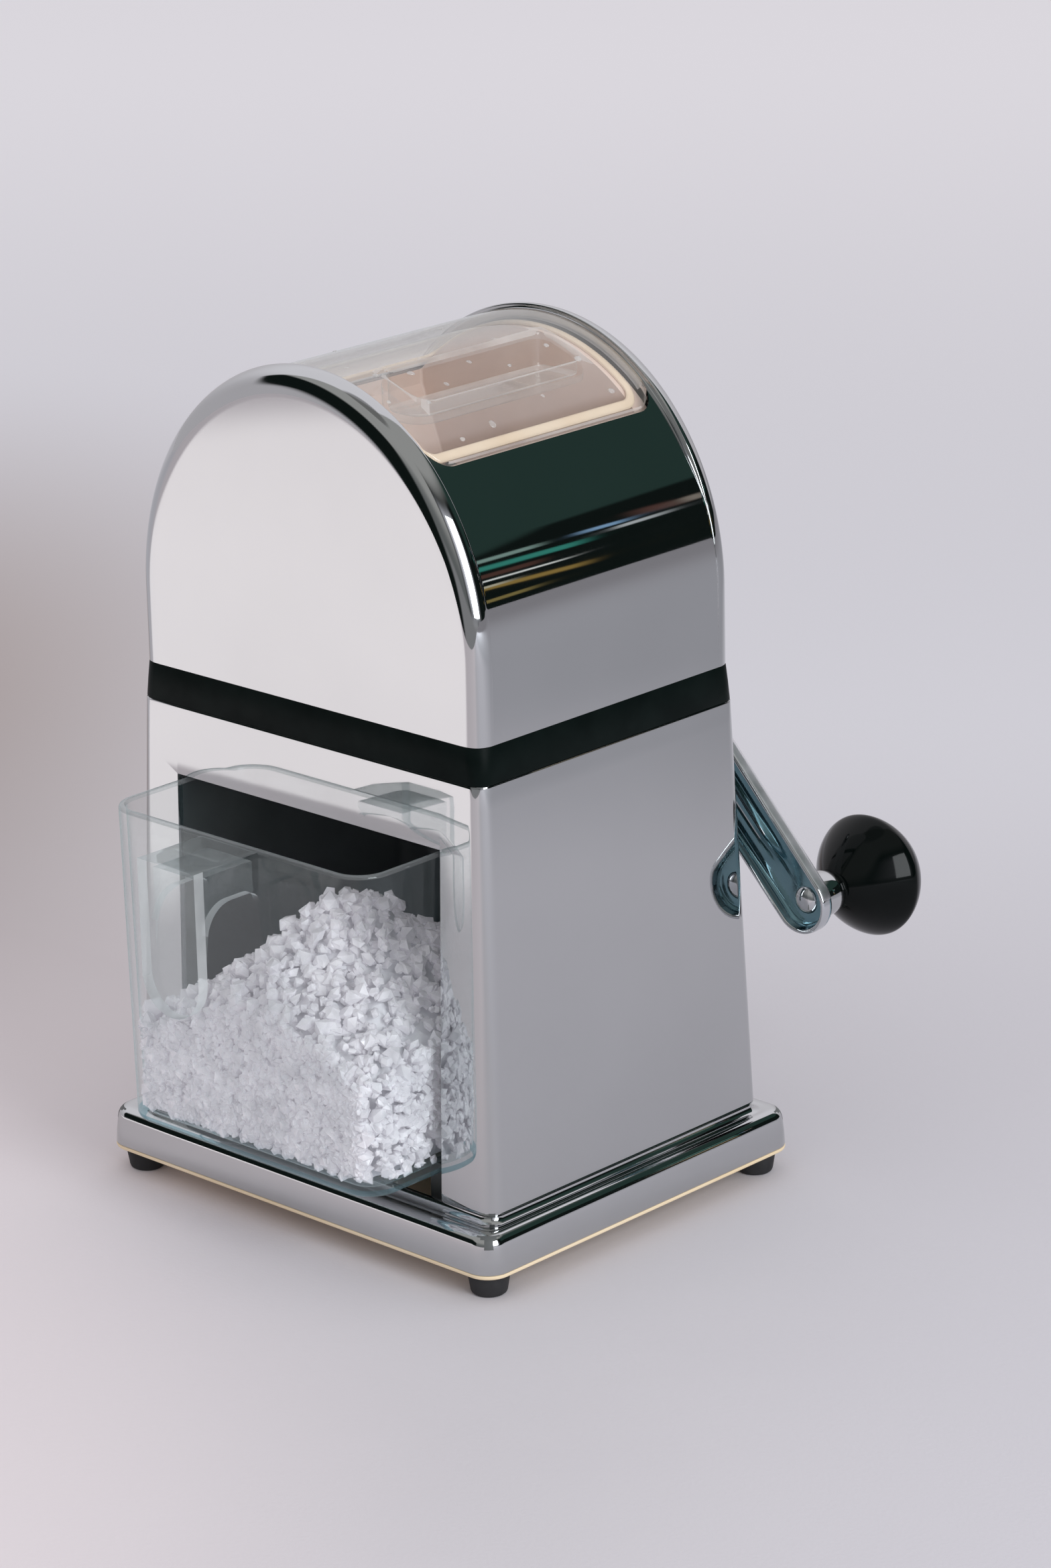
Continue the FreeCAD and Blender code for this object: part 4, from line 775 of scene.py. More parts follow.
handle = None
for x0, x1 in ((-GX, -GX + 2.6), (GX - 2.6, GX)):
    prof = side_profile(0)
    v, f = loft([np.array([(x, y, z) for y, z in prof]) for x in (x0, x1)])
    part = solid("flange", v, f)
    handle = part if handle is None else boolean(handle, part, "UNION")
part = block("top_web", -GX, GX, GF, -84.6, top_z - 3.0, top_z)
boolean(handle, part, "UNION")
web = [(GX, top_z), (GX, 93.7)] + [(GX * COS(math.radians(a)), 93.7 + GX * SIN(math.radians(a))) for a in np.linspace(-6, -174, 18)] + [(-GX, 93.7), (-GX, top_z)]
v, f = loft([np.array([(x, y, z) for x, z in web]) for y in (GF, GF + 3.6)])
boolean(handle, solid("front_web", v, f), "UNION")
bevel(handle, 0.7, 3, 40)
boolean(box_, handle, "UNION")
# a bore-shaped loft for the channel inside the container is worked out here but not used
v, f = loft([cont(2.2, z) for z in (60.0, 127.0)])
box_.data.materials.append(CLEAR_BOX)
tint_inside(box_, lambda c, nrm: c[2] > 127.5 and abs(nrm[2]) < 0.999 and c[1] > -88.5, BOX_LIP)
tint_inside(box_, lambda c, nrm: c[2] < 33.4 and 0.03 < abs(nrm[2]) < 0.995 and nrm[2] < 0, BOX_FOOT)
# painted highlight: the handle's rounded and edge faces take the pale plastic
tint_inside(box_, lambda c, nrm: c[1] < -87.2 and (max(abs(nrm[0]), abs(nrm[1]), abs(nrm[2])) < 0.975 or (abs(nrm[1]) < 0.5 and c[1] < GF + 3.7)
                                                  or (abs(nrm[0]) < 0.3 and nrm[2] < -0.2 and c[2] < 124.0)), HANDLE_EDGE_SHEEN)
tint_inside(box_, lambda c, nrm: c[1] < -88.0 and c[2] > 124.8 and abs(nrm[2]) > 0.95, BOX_LIP)
done(box_, "container", "clear_plastic", "ice_container", angle=35)

# ------------------------------------------------------------------------------------------ crushed ice
rng = np.random.default_rng(7)


def heap(x, y):
    g = 55 + 40 * math.exp(-(((x - 5) / 42) ** 2 + ((y + 42) / 50) ** 2))
    g += 5 * math.exp(-((x - 2) / 13) ** 4 - ((y + 44) / 15) ** 4)
    g += 1.8 * math.sin(x * 0.31 + 1.3) * math.cos(y * 0.27) + 1.2 * math.sin(x * 0.83 + y * 0.61)
    return g


def chip(c, size, rng):
    """One lump: a twenty-sided crystal pushed out of shape, in mm."""
    base = ICO_V * (1 + 0.75 * (rng.random((len(ICO_V), 1)) - 0.5))
    s = size * (0.7 + 0.6 * rng.random(3))
    q = rng.normal(size=4)
    q /= np.linalg.norm(q)
    w, x, y, z = q
    R = np.array([[1 - 2 * (y * y + z * z), 2 * (x * y - z * w), 2 * (x * z + y * w)], [2 * (x * y + z * w), 1 - 2 * (x * x + z * z), 2 * (y * z - x * w)],
                  [2 * (x * z - y * w), 2 * (y * z + x * w), 1 - 2 * (x * x + y * y)]])
    return (base * s) @ R.T + c


bm = bmesh.new()
bmesh.ops.create_icosphere(bm, subdivisions=1, radius=1.0)
bm.verts.ensure_lookup_table()
ICO_V = np.array([v.co[:] for v in bm.verts])
ICO_F = np.array([[v.index for v in f.verts] for f in bm.faces])
bm.free()
HX, YF, YB = 50.4, -83.7, 34.0
target = 7600
chips_v, count, tries = [], 0, 0
while count < target and tries < 160000:
    tries += 1
    size = 1.15 + 1.75 * rng.random() ** 2.2
    if rng.random() < 0.62:      # against the front or the sides, where it is seen
        if rng.random() < 0.62:
            x, y = rng.uniform(-HX + size, HX - size), YF + size * rng.uniform(0.85, 1.6)
        else:
            x, y = math.copysign(HX - size * rng.uniform(0.85, 1.6), rng.random() - 0.45), rng.uniform(YF + size, YB)
        z = rng.uniform(CZ0 + 2.8 + size, heap(x, y))
    else:
        x, y = rng.uniform(-HX + size, HX - size), rng.uniform(YF + size, YB)
        z = heap(x, y) - rng.random() ** 2 * 5 + size * 0.4
    if z < CZ0 + 2.8 + size:
        continue
    cx, cy = HX + 0.6 - 8.4, YF - 0.6 + 8.4
    if abs(x) > cx and y < cy and math.hypot(abs(x) - cx, y - cy) > 8.2 - size:
        continue
    chips_v.append(chip(np.array([x, y, z]), size * 0.95, rng))
    count += 1
per = (count + 1) // 2
for part in range(2):
    some = chips_v[part * per:(part + 1) * per]
    v = np.concatenate(some)
    v[:, 0] = np.clip(v[:, 0], -HX, HX)
    v[:, 1] = np.maximum(v[:, 1], YF)
    v[:, 2] = np.maximum(v[:, 2], CZ0 + 2.7)
    f = np.concatenate([ICO_F + k * len(ICO_V) for k in range(len(some))])
    me = bpy.data.meshes.new("crushed_ice_%d" % (part + 1))
    me.from_pydata([tuple(p) for p in (v - ORG) * MM], [], [tuple(int(i) for i in t) for t in f])
    me.update()
    ice = link("crushed_ice_%d" % (part + 1), me, ICE)
    done(ice, "container", "clear_plastic", angle=24)
# the mass behind the loose lumps, built from a height grid
gx, gy = np.linspace(-HX + 4.6, HX - 4.6, 44), np.linspace(YF + 4.6, YB - 2, 48)
gv, gf = [], []
for j, y in enumerate(gy):
    for i, x in enumerate(gx):
        corner = max(0.0, math.hypot(max(0.0, abs(x) - 36.0), max(0.0, -70.0 - y)) - 8.0)
        gv.append((x - math.copysign(min(corner, 4.0), x) * 0.7, y + min(corner, 4.0) * 0.7, max(CZ0 + 5.0, heap(x, y) - 3.4 + 1.2 * math.sin(i * 1.9) * math.cos(j * 2.3))))
nx_, ny_ = len(gx), len(gy)
for j in range(ny_ - 1):
    for i in range(nx_ - 1):
        a = j * nx_ + i
        gf.append((a, a + 1, a + nx_ + 1, a + nx_))
edge = [i for i in range(nx_)] + [j * nx_ + nx_ - 1 for j in range(1, ny_)] + [(ny_ - 1) * nx_ + i for i in range(nx_ - 2, -1, -1)] + [j * nx_ for j in range(ny_ - 2, 0, -1)]
base = len(gv)
for e in edge:
    gv.append((gv[e][0], gv[e][1], CZ0 + 3.2))
for k in range(len(edge)):
    k2 = (k + 1) % len(edge)
    gf.append((edge[k2], edge[k], base + k, base + k2))
gf.append(tuple(base + k for k in range(len(edge))))
core = solid("ice_mass", gv, gf, ICE_CORE)
done(core, "container", "clear_plastic", angle=60)

# ------------------------------------------------------------------------------------------ crank arm
HUB, TIP = np.array([0.0, 176.0]), np.array([84.45, 87.3])
LEN = float(np.linalg.norm(TIP - HUB))
U = (TIP - HUB) / LEN
N = np.array([-U[1], U[0]])
R_HUB, R_TIP = 10.6, 9.8
ARM_Y, ARM_D, ARM_T, ARM_W = 65.5, 5.0, 1.3, 1.4


def stadium(inset, n_end=20, n_side=36):
    """Local (u, v) points of the arm's outline, moved in by inset."""
    ra, rb = max(R_HUB - inset, 0.0), max(R_TIP - inset, 0.0)
    tilt = math.asin((R_HUB - R_TIP) / LEN)
    pts = []
    for a in np.linspace(90 - math.degrees(tilt), -90 + math.degrees(tilt), n_end):       # tip
        pts.append((LEN + rb * COS(math.radians(a)), rb * SIN(math.radians(a))))
    p0, p1 = np.array(pts[-1]), np.array((ra * COS(math.radians(-90 + math.degrees(tilt))), ra * SIN(math.radians(-90 + math.degrees(tilt)))))
    pts += [tuple(p0 + (p1 - p0) * k) for k in np.linspace(0, 1, n_side + 2)[1:-1]]
    for a in np.linspace(-90 + math.degrees(tilt), -270 - math.degrees(tilt) + 0.0, n_end):
        pts.append((ra * COS(math.radians(a)), ra * SIN(math.radians(a))))
    p0, p1 = np.array(pts[-1]), np.array(pts[0])
    pts += [tuple(p0 + (p1 - p0) * k) for k in np.linspace(0, 1, n_side + 2)[1:-1]]
    return pts


def rib(u, v_):
    """Height of the pressed rib on the web, towards the open side."""
    w = 3.1 - 1.2 * step((u - 20) / (LEN - 30))
    along = step((u + 2) / 10) * step((LEN - 13 - u) / 12)
    return 1.7 * along * step((w + 1.2 - abs(v_)) / 2.2)


def arm_ring(inset, y_of, slope=True):
    out = []
    for u, v_ in stadium(inset):
        p = HUB + U * u + N * v_
        y = y_of(u, v_)
        out.append((p[0], y, p[1]))
    return np.array(out)


def make_arm():
    back = ARM_Y + ARM_D
    rings = []
    # open side: centre of the web out to the wall, over the rim, down the outside, across the back to its centre
    for e in (9.3, 8.4, 7.6, 6.8, 6.0, 5.2, 4.4, 3.7, 3.1):
        rings.append(arm_ring(e, lambda u, v_: back - ARM_T - rib(u, v_)))
    for e, dy in ((2.6, 0.06), (2.1, 0.3), (1.7, 0.75), (1.45, 1.3)):
        rings.append(arm_ring(e, lambda u, v_, dy=dy: back - ARM_T - dy - rib(u, v_) * 0))
    rings.append(arm_ring(1.4, lambda u, v_: ARM_Y + 0.7))
    for e, dy in ((1.35, 0.3), (1.1, 0.08), (0.8, 0.0), (0.5, 0.02), (0.2, 0.18), (0.03, 0.5)):
        rings.append(arm_ring(e, lambda u, v_, dy=dy: ARM_Y + dy))
    rings.append(arm_ring(0.0, lambda u, v_: ARM_Y + 1.2))
    rings.append(arm_ring(0.0, lambda u, v_: back - 1.9))
    for e, dy in ((0.1, 1.2), (0.35, 0.65), (0.75, 0.25), (1.3, 0.05), (2.0, 0.0), (3.1, 0.0)):
        rings.append(arm_ring(e, lambda u, v_, dy=dy: back - dy))
    for e in (3.7, 4.4, 5.2, 6.0, 6.8, 7.6, 8.4, 9.3):
        rings.append(arm_ring(e, lambda u, v_: back - rib(u, v_) * 0.62))
    v, f = loft(rings)
    return solid("arm_pressing", v, f)


arm = make_arm()
boss = lathe("arm_boss", [(4.0, 58.0), (7.6, 58.0), (8.1, 58.3), (8.2, 58.8), (8.2, 69.8), (4.0, 69.8)], 0.0, 176.0, 64)
boolean(arm, boss, "UNION")
for x, z, r in ((0.0, 176.0, 4.0), (84.45, 87.3, 2.5)):
    v, f = loft([np.array([(x + r * COS(a), y, z + r * SIN(a)) for a in np.linspace(0, 2 * PI, 32, endpoint=False)]) for y in (40.0, 90.0)])
    boolean(arm, solid("arm_drill", v, f))
arm.data.materials.append(CHROME_ARM)
NX, NZ = float(N[0]), float(N[1])


def arm_local(c):
    d = np.array([c[0], c[2]]) - HUB
    return float(d @ U), float(d @ N)


# painted reflection and shade: the channel's inner faces take the teal metal
tint_inside(arm, lambda c, nrm: c[1] > ARM_Y + 2.2 and abs(arm_local(c)[1]) < R_HUB - 1.2 - 0.8 * max(0.0, arm_local(c)[0]) / LEN and nrm[1] < 0.3
            and math.hypot(c[0], c[2] - 176.0) > 8.6, ARM_CHANNEL_REFLECTION)
# painted sheen: the edge faces turned outward across the arm take the pale metal
tint_inside(arm, lambda c, nrm: nrm[0] * NX + nrm[2] * NZ > 0.6 and arm_local(c)[1] > 8.6 and c[1] > ARM_Y + 0.4, ARM_EDGE_SHEEN)
done(arm, "crank", "polished_shell", "crank_arm", angle=40)

WEB = ARM_Y + ARM_D - ARM_T
rivet = lathe("spindle_rivet", [(0.01, WEB - 1.9), (1.2, WEB - 1.84), (2.2, WEB - 1.66), (3.2, WEB - 1.25), (3.9, WEB - 0.7), (4.2, WEB - 0.3), (4.3, WEB - 0.02), (2.5, WEB),
                                (2.5, 100.0), (0.01, 100.0)], 84.45, 87.3, 64, CHROME_ARM)
done(rivet, "crank", "blade_steel", "knob_spindle")
b0 = ARM_Y + ARM_D
ferrule = lathe("ferrule_ring", [(2.56, b0 + 0.2), (5.8, b0 + 0.2), (6.4, b0 + 0.35), (6.75, b0 + 0.8), (6.9, b0 + 1.6), (7.0, b0 + 3.6), (7.0, b0 + 5.4), (6.9, b0 + 7.2),
                                 (6.6, b0 + 8.6), (6.2, b0 + 9.3), (5.6, b0 + 9.7), (2.56, b0 + 9.75)], 84.45, 87.3, 96, CHROME)
done(ferrule, "knob", "polished_shell", "knob_ferrule")
prof = [(2.56, 80.35), (4.9, 80.35), (5.7, 80.5), (6.3, 81.0)]
for s in np.linspace(-0.93, 0.985, 46):
    n_, hl = (1.32, 18.2) if s < 0 else (1.46, 15.5)
    prof.append((18.92 * (1 - abs(s) ** n_) ** (1 / n_ if s < 0 else 0.62), 98.3 + s * hl))
prof = [p for p in prof if p[1] > 80.34]
prof = [prof[0], prof[1]] + sorted(prof[2:], key=lambda p: p[1])
prof += [(1.2, 113.72), (0.01, 113.78)]
knob = lathe("knob_turned", prof, 84.45, 87.3, 128, KNOB_BLACK)
done(knob, "knob", "knob_black", "crank_knob", angle=50)
nut = lathe("crank_cap_nut", [(2.95, b0), (7.4, b0), (7.6, b0 + 0.2), (7.6, b0 + 0.9), (7.3, b0 + 1.15), (6.4, b0 + 1.3), (6.2, b0 + 1.6), (6.2, b0 + 5.0), (6.0, b0 + 6.2),
                              (5.4, b0 + 7.5), (4.4, b0 + 8.6), (3.0, b0 + 9.4), (1.5, b0 + 9.75), (0.01, b0 + 9.8)], 0.0, 176.0, 72, CHROME_ARM)
done(nut, "crank", "polished_shell", "crank_nut")

# ------------------------------------------------------------------------------------------ the CAD's own pieces that stay
KEPT = {
    "foot_screws": ZINC, "drawer_runners": BLACK_INNER, "mechanism_deck": ZINC, "deck_screws": ZINC, "case_screws": ZINC, "frame_screws": ZINC, "hopper": BEIGE,
    "lid_hinge_rod": BLADE, "front_bearing_plate": ZINC, "rear_bearing_plate": ZINC, "comb_bars": BLADE, "comb_blades": BLADE, "front_bush": BRASS,
    "rear_bush": BRASS, "wall_bush": CHROME, "rotor_shaft": BLADE, "rotor_blades": BLADE, "rotor_spacers": ZINC, "ice_chute": BLACK_INNER,
    "thrust_washer": NYLON,
}
for name, mat in KEPT.items():
    ob = NODES[name]
    ob.data.materials.clear()
    ob.data.materials.append(mat)
    w = ob.modifiers.new("weld", "WELD")
    w.merge_threshold = 1e-6
    b = ob.modifiers.new("bevel", "BEVEL")
    b.width, b.segments, b.limit_method, b.angle_limit = 0.00022, 2, "ANGLE", math.radians(40)

# ------------------------------------------------------------------------------------------ camera
AZ, EL, ROLL = (math.radians(a) for a in (43.49395, 18.46548, -1.2739))
DIST, TX, TY, F = 1491.245, -25.6583, -3.0346, 7446.93
back = np.array([SIN(AZ) * COS(EL), -COS(AZ) * COS(EL), SIN(EL)])
right = np.array([COS(AZ), SIN(AZ), 0.0])
up = np.cross(back, right)
R2 = COS(ROLL) * right + SIN(ROLL) * up
U2 = -SIN(ROLL) * right + COS(ROLL) * up
pos = (np.array([0, 0, 120.0]) + back * DIST - right * TX - up * TY - ORG) * MM
cam = bpy.data.cameras.new("camera")
cam.sensor_width = 36.0
cam.lens = F * 36.0 / 2339.0
cam.clip_start, cam.clip_end = 0.05, 50.0
co = bpy.data.objects.new("camera", cam)
SCENE.collection.objects.link(co)
co.matrix_world = Matrix([[R2[0], U2[0], back[0], pos[0]], [R2[1], U2[1], back[1], pos[1]], [R2[2], U2[2], back[2], pos[2]], [0, 0, 0, 1]])
SCENE.camera = co

# ------------------------------------------------------------------------------------------ studio: a pale floor, a dark room round it, soft lights
class Net:
    """Small helper for maths in a node tree: each call adds a node and gives its output."""

    def __init__(self, tree):
        self.t = tree

    def put(self, node, k, v):
        if isinstance(v, bpy.types.NodeSocket):
            self.t.links.new(v, node.inputs[k])
        elif v is not None:
            node.inputs[k].default_value = v

    def m(self, op, a, b=None, c=None, clamp=False):
        n = add(self.t, "ShaderNodeMath", operation=op, use_clamp=clamp)
        for k, v in enumerate((a, b, c)):
            self.put(n, k, v)
        return n.outputs[0]

    def dot(self, a, v):
        n = add(self.t, "ShaderNodeVectorMath", operation="DOT_PRODUCT")
        self.put(n, 0, a)
        self.put(n, 1, v)
        return n.outputs["Value"]

    def ramp(self, x, lo, hi, a=0.0, b=1.0):
        n = add(self.t, "ShaderNodeMapRange", interpolation_type="SMOOTHSTEP")
        for k, v in enumerate((x, lo, hi, a, b)):
            self.put(n, k, v)
        return n.outputs[0]

    def mix(self, fac, a, b):
        n = add(self.t, "ShaderNodeMix", data_type="RGBA")
        self.put(n, 0, fac)
        self.put(n, 6, (*a, 1) if isinstance(a, tuple) else a)
        self.put(n, 7, (*b, 1) if isinstance(b, tuple) else b)
        return n.outputs[2]


def paper():
    """Pale paper: faint fibres and clouds, with painted light and shade: slightly lighter and cooler towards the back,
    lighter to the front left, darker far to the right, and a soft warm painted shade to the left rear.
    """
    m, t = new_mat("backdrop_paper")
    g = Net(t)
    out = add(t, "ShaderNodeOutputMaterial")
    p = add(t, "ShaderNodeBsdfPrincipled")
    t.links.new(p.outputs[0], out.inputs[0])
    co = add(t, "ShaderNodeTexCoord")
    xyz = add(t, "ShaderNodeSeparateXYZ")
    t.links.new(co.outputs["Object"], xyz.inputs[0])
    x, y = xyz.outputs[0], xyz.outputs[1]
    depth = g.m("ADD", g.m("MULTIPLY", x, -0.652), g.m("MULTIPLY", y, 0.688))
    side = g.m("ADD", g.m("MULTIPLY", x, 0.688), g.m("MULTIPLY", y, 0.652))
    n = add(t, "ShaderNodeTexNoise")
    n.inputs["Scale"].default_value, n.inputs["Detail"].default_value = 6.0, 5.0
    t.links.new(co.outputs["Object"], n.inputs["Vector"])
    cloud = g.ramp(n.outputs[0], 0.3, 0.7)
    base = g.mix(cloud, FLOOR_A, FLOOR_B)
    # painted light: the floor is lighter to the front left, fading to the plain tone on the right
    base = g.mix(g.ramp(side, -0.15, 0.02), FLOOR_LEFT_LIT, base)
    base = g.mix(g.ramp(side, 0.0, 0.17), base, FLOOR_RIGHT)
    # painted light: lighter and cooler towards the back, and lighter still far away
    back_light = g.ramp(depth, BACK_LIGHT_0, BACK_LIGHT_1)
    base = g.mix(back_light, base, FLOOR_BACK_LIT)
    base = g.mix(g.ramp(depth, 0.5, 1.9), base, FLOOR_FAR_LIT)
    # painted shade: the floor darker far to the right, where the chrome sides reflect it
    base = g.mix(g.ramp(side, 0.36, 0.62), base, g.mix(g.ramp(side, 0.62, 2.2), FLOOR_SIDE_SHADE, (0.44, 0.43, 0.46)))
    # shade: a soft patch behind the left side
    sx = g.m("DIVIDE", g.m("SUBTRACT", side, SHADE[0]), SHADE[1])
    sy = g.m("DIVIDE", g.m("SUBTRACT", depth, SHADE[2]), SHADE[3])
    r = g.m("SQRT", g.m("ADD", g.m("MULTIPLY", sx, sx), g.m("MULTIPLY", sy, sy)))
    shade = g.ramp(r, 1.0, 0.0, 0.0, SHADE[4])
    base = g.mix(shade, base, SHADE_TINT)
    t.links.new(base, p.inputs["Base Color"])
    f_ = add(t, "ShaderNodeTexNoise")
    f_.inputs["Scale"].default_value, f_.inputs["Detail"].default_value = 700.0, 2.0
    t.links.new(co.outputs["Object"], f_.inputs["Vector"])
    bp = add(t, "ShaderNodeBump")
    bp.inputs["Strength"].default_value, bp.inputs["Distance"].default_value = 0.2, 0.0003
    t.links.new(f_.outputs[0], bp.inputs["Height"])
    t.links.new(bp.outputs[0], p.inputs["Normal"])
    p.inputs["Roughness"].default_value = 0.9
    p.inputs["Specular IOR Level"].default_value = 0.1
    return m


# FLOOR_A and FLOOR_B are the paper's own clouds; the lit and shaded tones and the shade patch below are painted light
# and shade
FLOOR_A, FLOOR_B, FLOOR_BACK_LIT, FLOOR_SIDE_SHADE = (0.63, 0.605, 0.64), (0.66, 0.635, 0.67), (0.735, 0.725, 0.775), (0.475, 0.47, 0.505)
FLOOR_LEFT_LIT, FLOOR_RIGHT = (0.81, 0.745, 0.775), (0.645, 0.625, 0.67)
FLOOR_FAR_LIT = (0.93, 0.91, 0.955)
BACK_LIGHT_0, BACK_LIGHT_1 = 0.06, 0.46
SHADE, SHADE_TINT = (-0.26, 0.30, 0.47, 0.56, 1.0), (0.46, 0.395, 0.385)


def floor_sheet():
    xs = sorted(set(np.concatenate([np.linspace(-14000, 14000, 15), np.linspace(-1500, 1500, 13)])))
    ys = [-840.0] + sorted(set(np.concatenate([np.linspace(-700, 1500, 12), np.linspace(2500, 14000, 9)])))
    verts = [(x, y, 0.0) for y in ys for x in xs]
    m_ = len(xs)
    faces = [(j * m_ + i, j * m_ + i + 1, (j + 1) * m_ + i + 1, (j + 1) * m_ + i) for j in range(len(ys) - 1) for i in range(m_ - 1)]
    me = mesh_of("paper_floor", verts, faces)
    return link("paper_floor", me, paper())


floor = floor_sheet()


def area(name, at_, toward, size, power, color=(1, 1, 1), spread=180.0, size_y=None):
    d = bpy.data.lights.new(name, "AREA")
    d.shape = "RECTANGLE"
    d.size, d.size_y = size, size_y or size
    d.energy, d.color = power, color
    d.spread = math.radians(spread)
    o = bpy.data.objects.new(name, d)
    SCENE.collection.objects.link(o)
    a, b = (np.array(at_, float) - ORG) * MM, (np.array(toward, float) - ORG) * MM
    o.location = a
    o.rotation_euler = Vector(a - b).to_track_quat("Z", "Y").to_euler()
    return o


def heading(az, el, dist):
    a, e = math.radians(az), math.radians(el)
    return (dist * COS(a) * COS(e), dist * SIN(a) * COS(e), dist * SIN(e) + 100)


def spot(name, at_, toward, power, angle, blend=1.0, color=(1, 1, 1), radius=0.02):
    d = bpy.data.lights.new(name, "SPOT")
    d.energy, d.color, d.spot_size, d.spot_blend, d.shadow_soft_size = power, color, math.radians(angle), blend, radius
    o = bpy.data.objects.new(name, d)
    SCENE.collection.objects.link(o)
    a, b = (np.array(at_, float) - ORG) * MM, (np.array(toward, float) - ORG) * MM
    o.location = a
    o.rotation_euler = Vector(a - b).to_track_quat("Z", "Y").to_euler()
    return o


area("tall_window", heading(-11, 21, 2400), (0, 0, 100), 1.0, 33.0, (0.93, 0.98, 1.0), size_y=1.60)
spot("front_left_pool", (-455, -545, 1400), (-455, -545, 0), 62.0, 29.6, 0.42, (0.98, 1.03, 0.975))

DARK, GREEN, PALE_LOW, PALE_HIGH, CEILING = (0.007, 0.011, 0.010), (0.026, 0.052, 0.045), (0.60, 0.58, 0.61), (0.95, 0.93, 0.98), (0.44, 0.44, 0.43)
GREY_LOW, GREY_HIGH = (0.17, 0.18, 0.18), (0.44, 0.44, 0.43)
STREAKS = [   # along the barrel from, to; elevation from, to; half width; colour
    (-0.20, 0.40, 18.8, 17.2, 0.9, (0.27, 0.40, 0.36)), (-0.20, 0.55, 16.2, 13.2, 1.3, (0.05, 0.30, 0.24)), (0.45, 0.78, 17.3, 16.1, 0.8, (0.30, 0.50, 0.75)),
    (0.58, 0.92, 14.9, 14.4, 0.8, (0.60, 0.64, 0.66)), (-0.20, 0.35, 12.9, 10.9, 1.2, (0.10, 0.05, 0.04)), (-0.20, 0.45, 10.8, 8.3, 0.5, (0.95, 0.98, 0.95)),
    (-0.10, 0.52, 7.4, 3.6, 1.1, (0.36, 0.24, 0.07)), (-0.15, 0.20, 7.8, 6.6, 0.7, (0.60, 0.56, 0.42)), (-0.10, 0.30, 1.7, 1.6, 0.7, (0.28, 0.22, 0.08)),
    (0.72, 1.02, 18.2, 16.3, 1.7, (0.12, 0.06, 0.05)), (0.94, 1.12, 16.9, 16.6, 1.4, (0.75, 0.66, 0.56))]

world = bpy.data.worlds.new("room")
SCENE.world = world
world.use_nodes = True
wt = world.node_tree
wt.nodes.clear()
w = Net(wt)
wo = add(wt, "ShaderNodeOutputWorld")
coords = add(wt, "ShaderNodeTexCoord").outputs["Generated"]
sep = add(wt, "ShaderNodeSeparateXYZ")
wt.links.new(coords, sep.inputs[0])
dx, dy, dz = sep.outputs
el_ = w.m("MULTIPLY", w.m("ARCSINE", dz), 180 / PI)
az_ = w.m("MULTIPLY", w.m("ARCTAN2", dy, dx), 180 / PI)
edge_el = w.m("ADD", 19.2, w.m("MULTIPLY", w.m("MULTIPLY", w.m("SUBTRACT", az_, 46.8), 0.36, clamp=True), 3.4))
lower_dark = w.ramp(w.m("SUBTRACT", el_, edge_el), -0.3, 0.7)
near_side = w.m("MULTIPLY", w.ramp(az_, 15, 30), w.ramp(az_, 79, 72))
room = w.mix(w.m("MULTIPLY", near_side, lower_dark), DARK, GREEN)
# in front, to the right of the dark corner where the camera stands: a grey room
grey = w.mix(w.ramp(el_, 2.0, 30.0), GREY_LOW, GREY_HIGH)
in_front = w.m("MULTIPLY", w.ramp(az_, -109, -102), w.ramp(az_, -44, -56))
room = w.mix(w.m("MULTIPLY", in_front, w.ramp(el_, -8, -3)), room, grey)
low = w.m("MULTIPLY", w.m("MULTIPLY", w.ramp(az_, -104, -96), w.ramp(az_, -6, -14)), w.ramp(el_, 1.0, -3.0))
room = w.mix(low, room, (0.30, 0.30, 0.31))
top = w.m("SUBTRACT", -21.0, w.m("MULTIPLY", az_, 0.32))
over = w.m("MULTIPLY", w.ramp(w.m("SUBTRACT", el_, top), 0.0, 7.0), w.ramp(az_, -98, -106))
room = w.mix(over, room, CEILING)
along = w.m("DIVIDE", w.m("SUBTRACT", w.m("SUBTRACT", az_, 43.65), w.m("MULTIPLY", w.m("MULTIPLY", el_, el_), 0.0088)), 2.9)
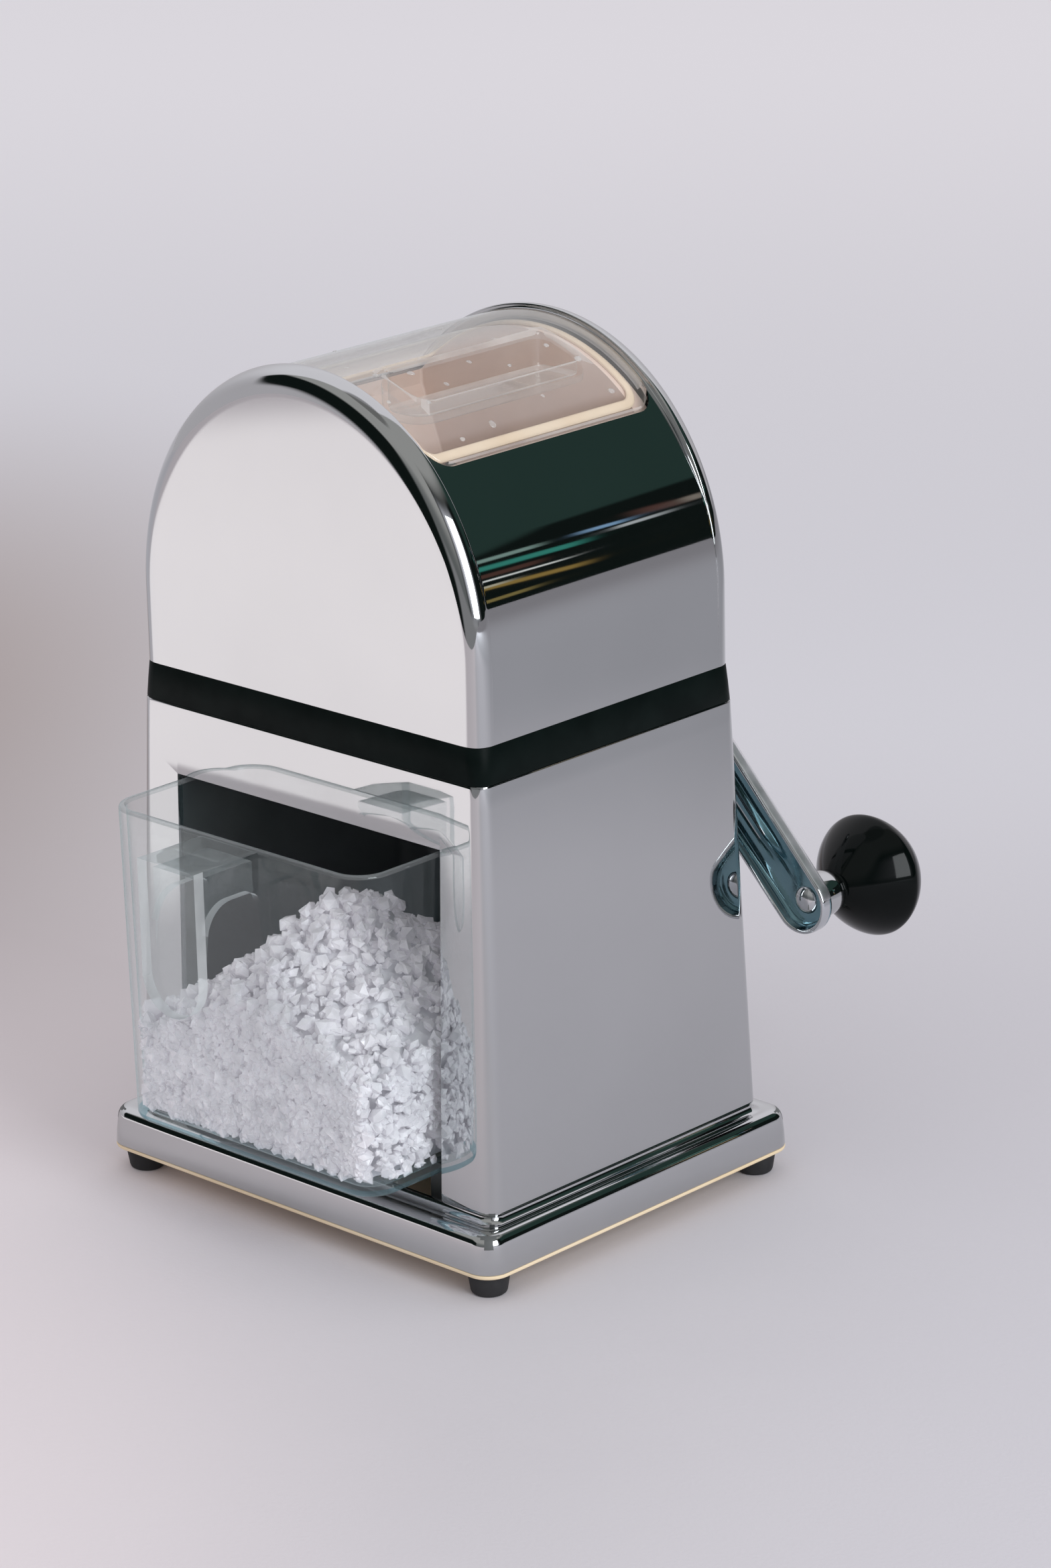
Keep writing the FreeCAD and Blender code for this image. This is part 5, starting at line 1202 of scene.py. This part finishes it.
for s0, s1, e0, e1, hw, col in STREAKS:
    mid = w.m("ADD", w.m("MULTIPLY", w.m("SUBTRACT", along, s0), (e1 - e0) / (s1 - s0)), e0)
    off = w.m("ABSOLUTE", w.m("SUBTRACT", el_, mid))
    mask = w.m("MULTIPLY", w.ramp(off, hw, hw * 0.35), w.m("MULTIPLY", w.ramp(along, s0, s0 + 0.12), w.ramp(along, s1, s1 - 0.14)))
    room = w.mix(mask, room, col)
m1 = w.ramp(w.dot(coords, (-0.974, 0.225, 0.0)), -0.01, 0.035)
m2 = w.ramp(w.dot(coords, (-0.5, 0.866, 0.0)), -0.02, 0.04)
wall_mask = w.m("MAXIMUM", w.m("MULTIPLY", m1, m2), w.ramp(w.m("ADD", az_, w.m("MULTIPLY", el_, 0.6)), -137.0, -141.0))
wall = w.mix(w.ramp(el_, 0.0, 42.0), PALE_LOW, PALE_HIGH)
room = w.mix(wall_mask, room, wall)
room = w.mix(w.ramp(el_, 40.0, 58.0), room, w.mix(wall_mask, CEILING, PALE_HIGH))
room = w.mix(w.ramp(w.dot(coords, (-0.117, -0.175, 0.978)), 0.965, 0.985, 0.0, 0.7), room, (0.12, 0.12, 0.12))
glow = w.m("MULTIPLY", w.m("MULTIPLY", w.ramp(az_, -52, -24), w.ramp(az_, 12, -4)), w.m("MULTIPLY", w.ramp(el_, -6.0, 10.0), w.ramp(el_, 46.0, 30.0)))
room = w.mix(w.m("MULTIPLY", glow, 0.8), room, (1.25, 1.25, 1.35))
bg_gloss = add(wt, "ShaderNodeBackground")
wt.links.new(room, bg_gloss.inputs[0])
bg_soft = add(wt, "ShaderNodeBackground")
bg_soft.inputs[0].default_value = (1.0, 0.985, 1.0, 1)
bg_soft.inputs[1].default_value = 0.72
path = add(wt, "ShaderNodeLightPath")
pick = add(wt, "ShaderNodeMixShader")
wt.links.new(w.m("MULTIPLY", path.outputs["Is Glossy Ray"], w.m("SUBTRACT", 1.0, path.outputs["Is Transmission Ray"])), pick.inputs[0])
wt.links.new(bg_soft.outputs[0], pick.inputs[1])
wt.links.new(bg_gloss.outputs[0], pick.inputs[2])
wt.links.new(pick.outputs[0], wo.inputs[0])
SCENE.view_settings.view_transform = "Standard"
SCENE.view_settings.look = "None"
SCENE.view_settings.exposure = 0.0
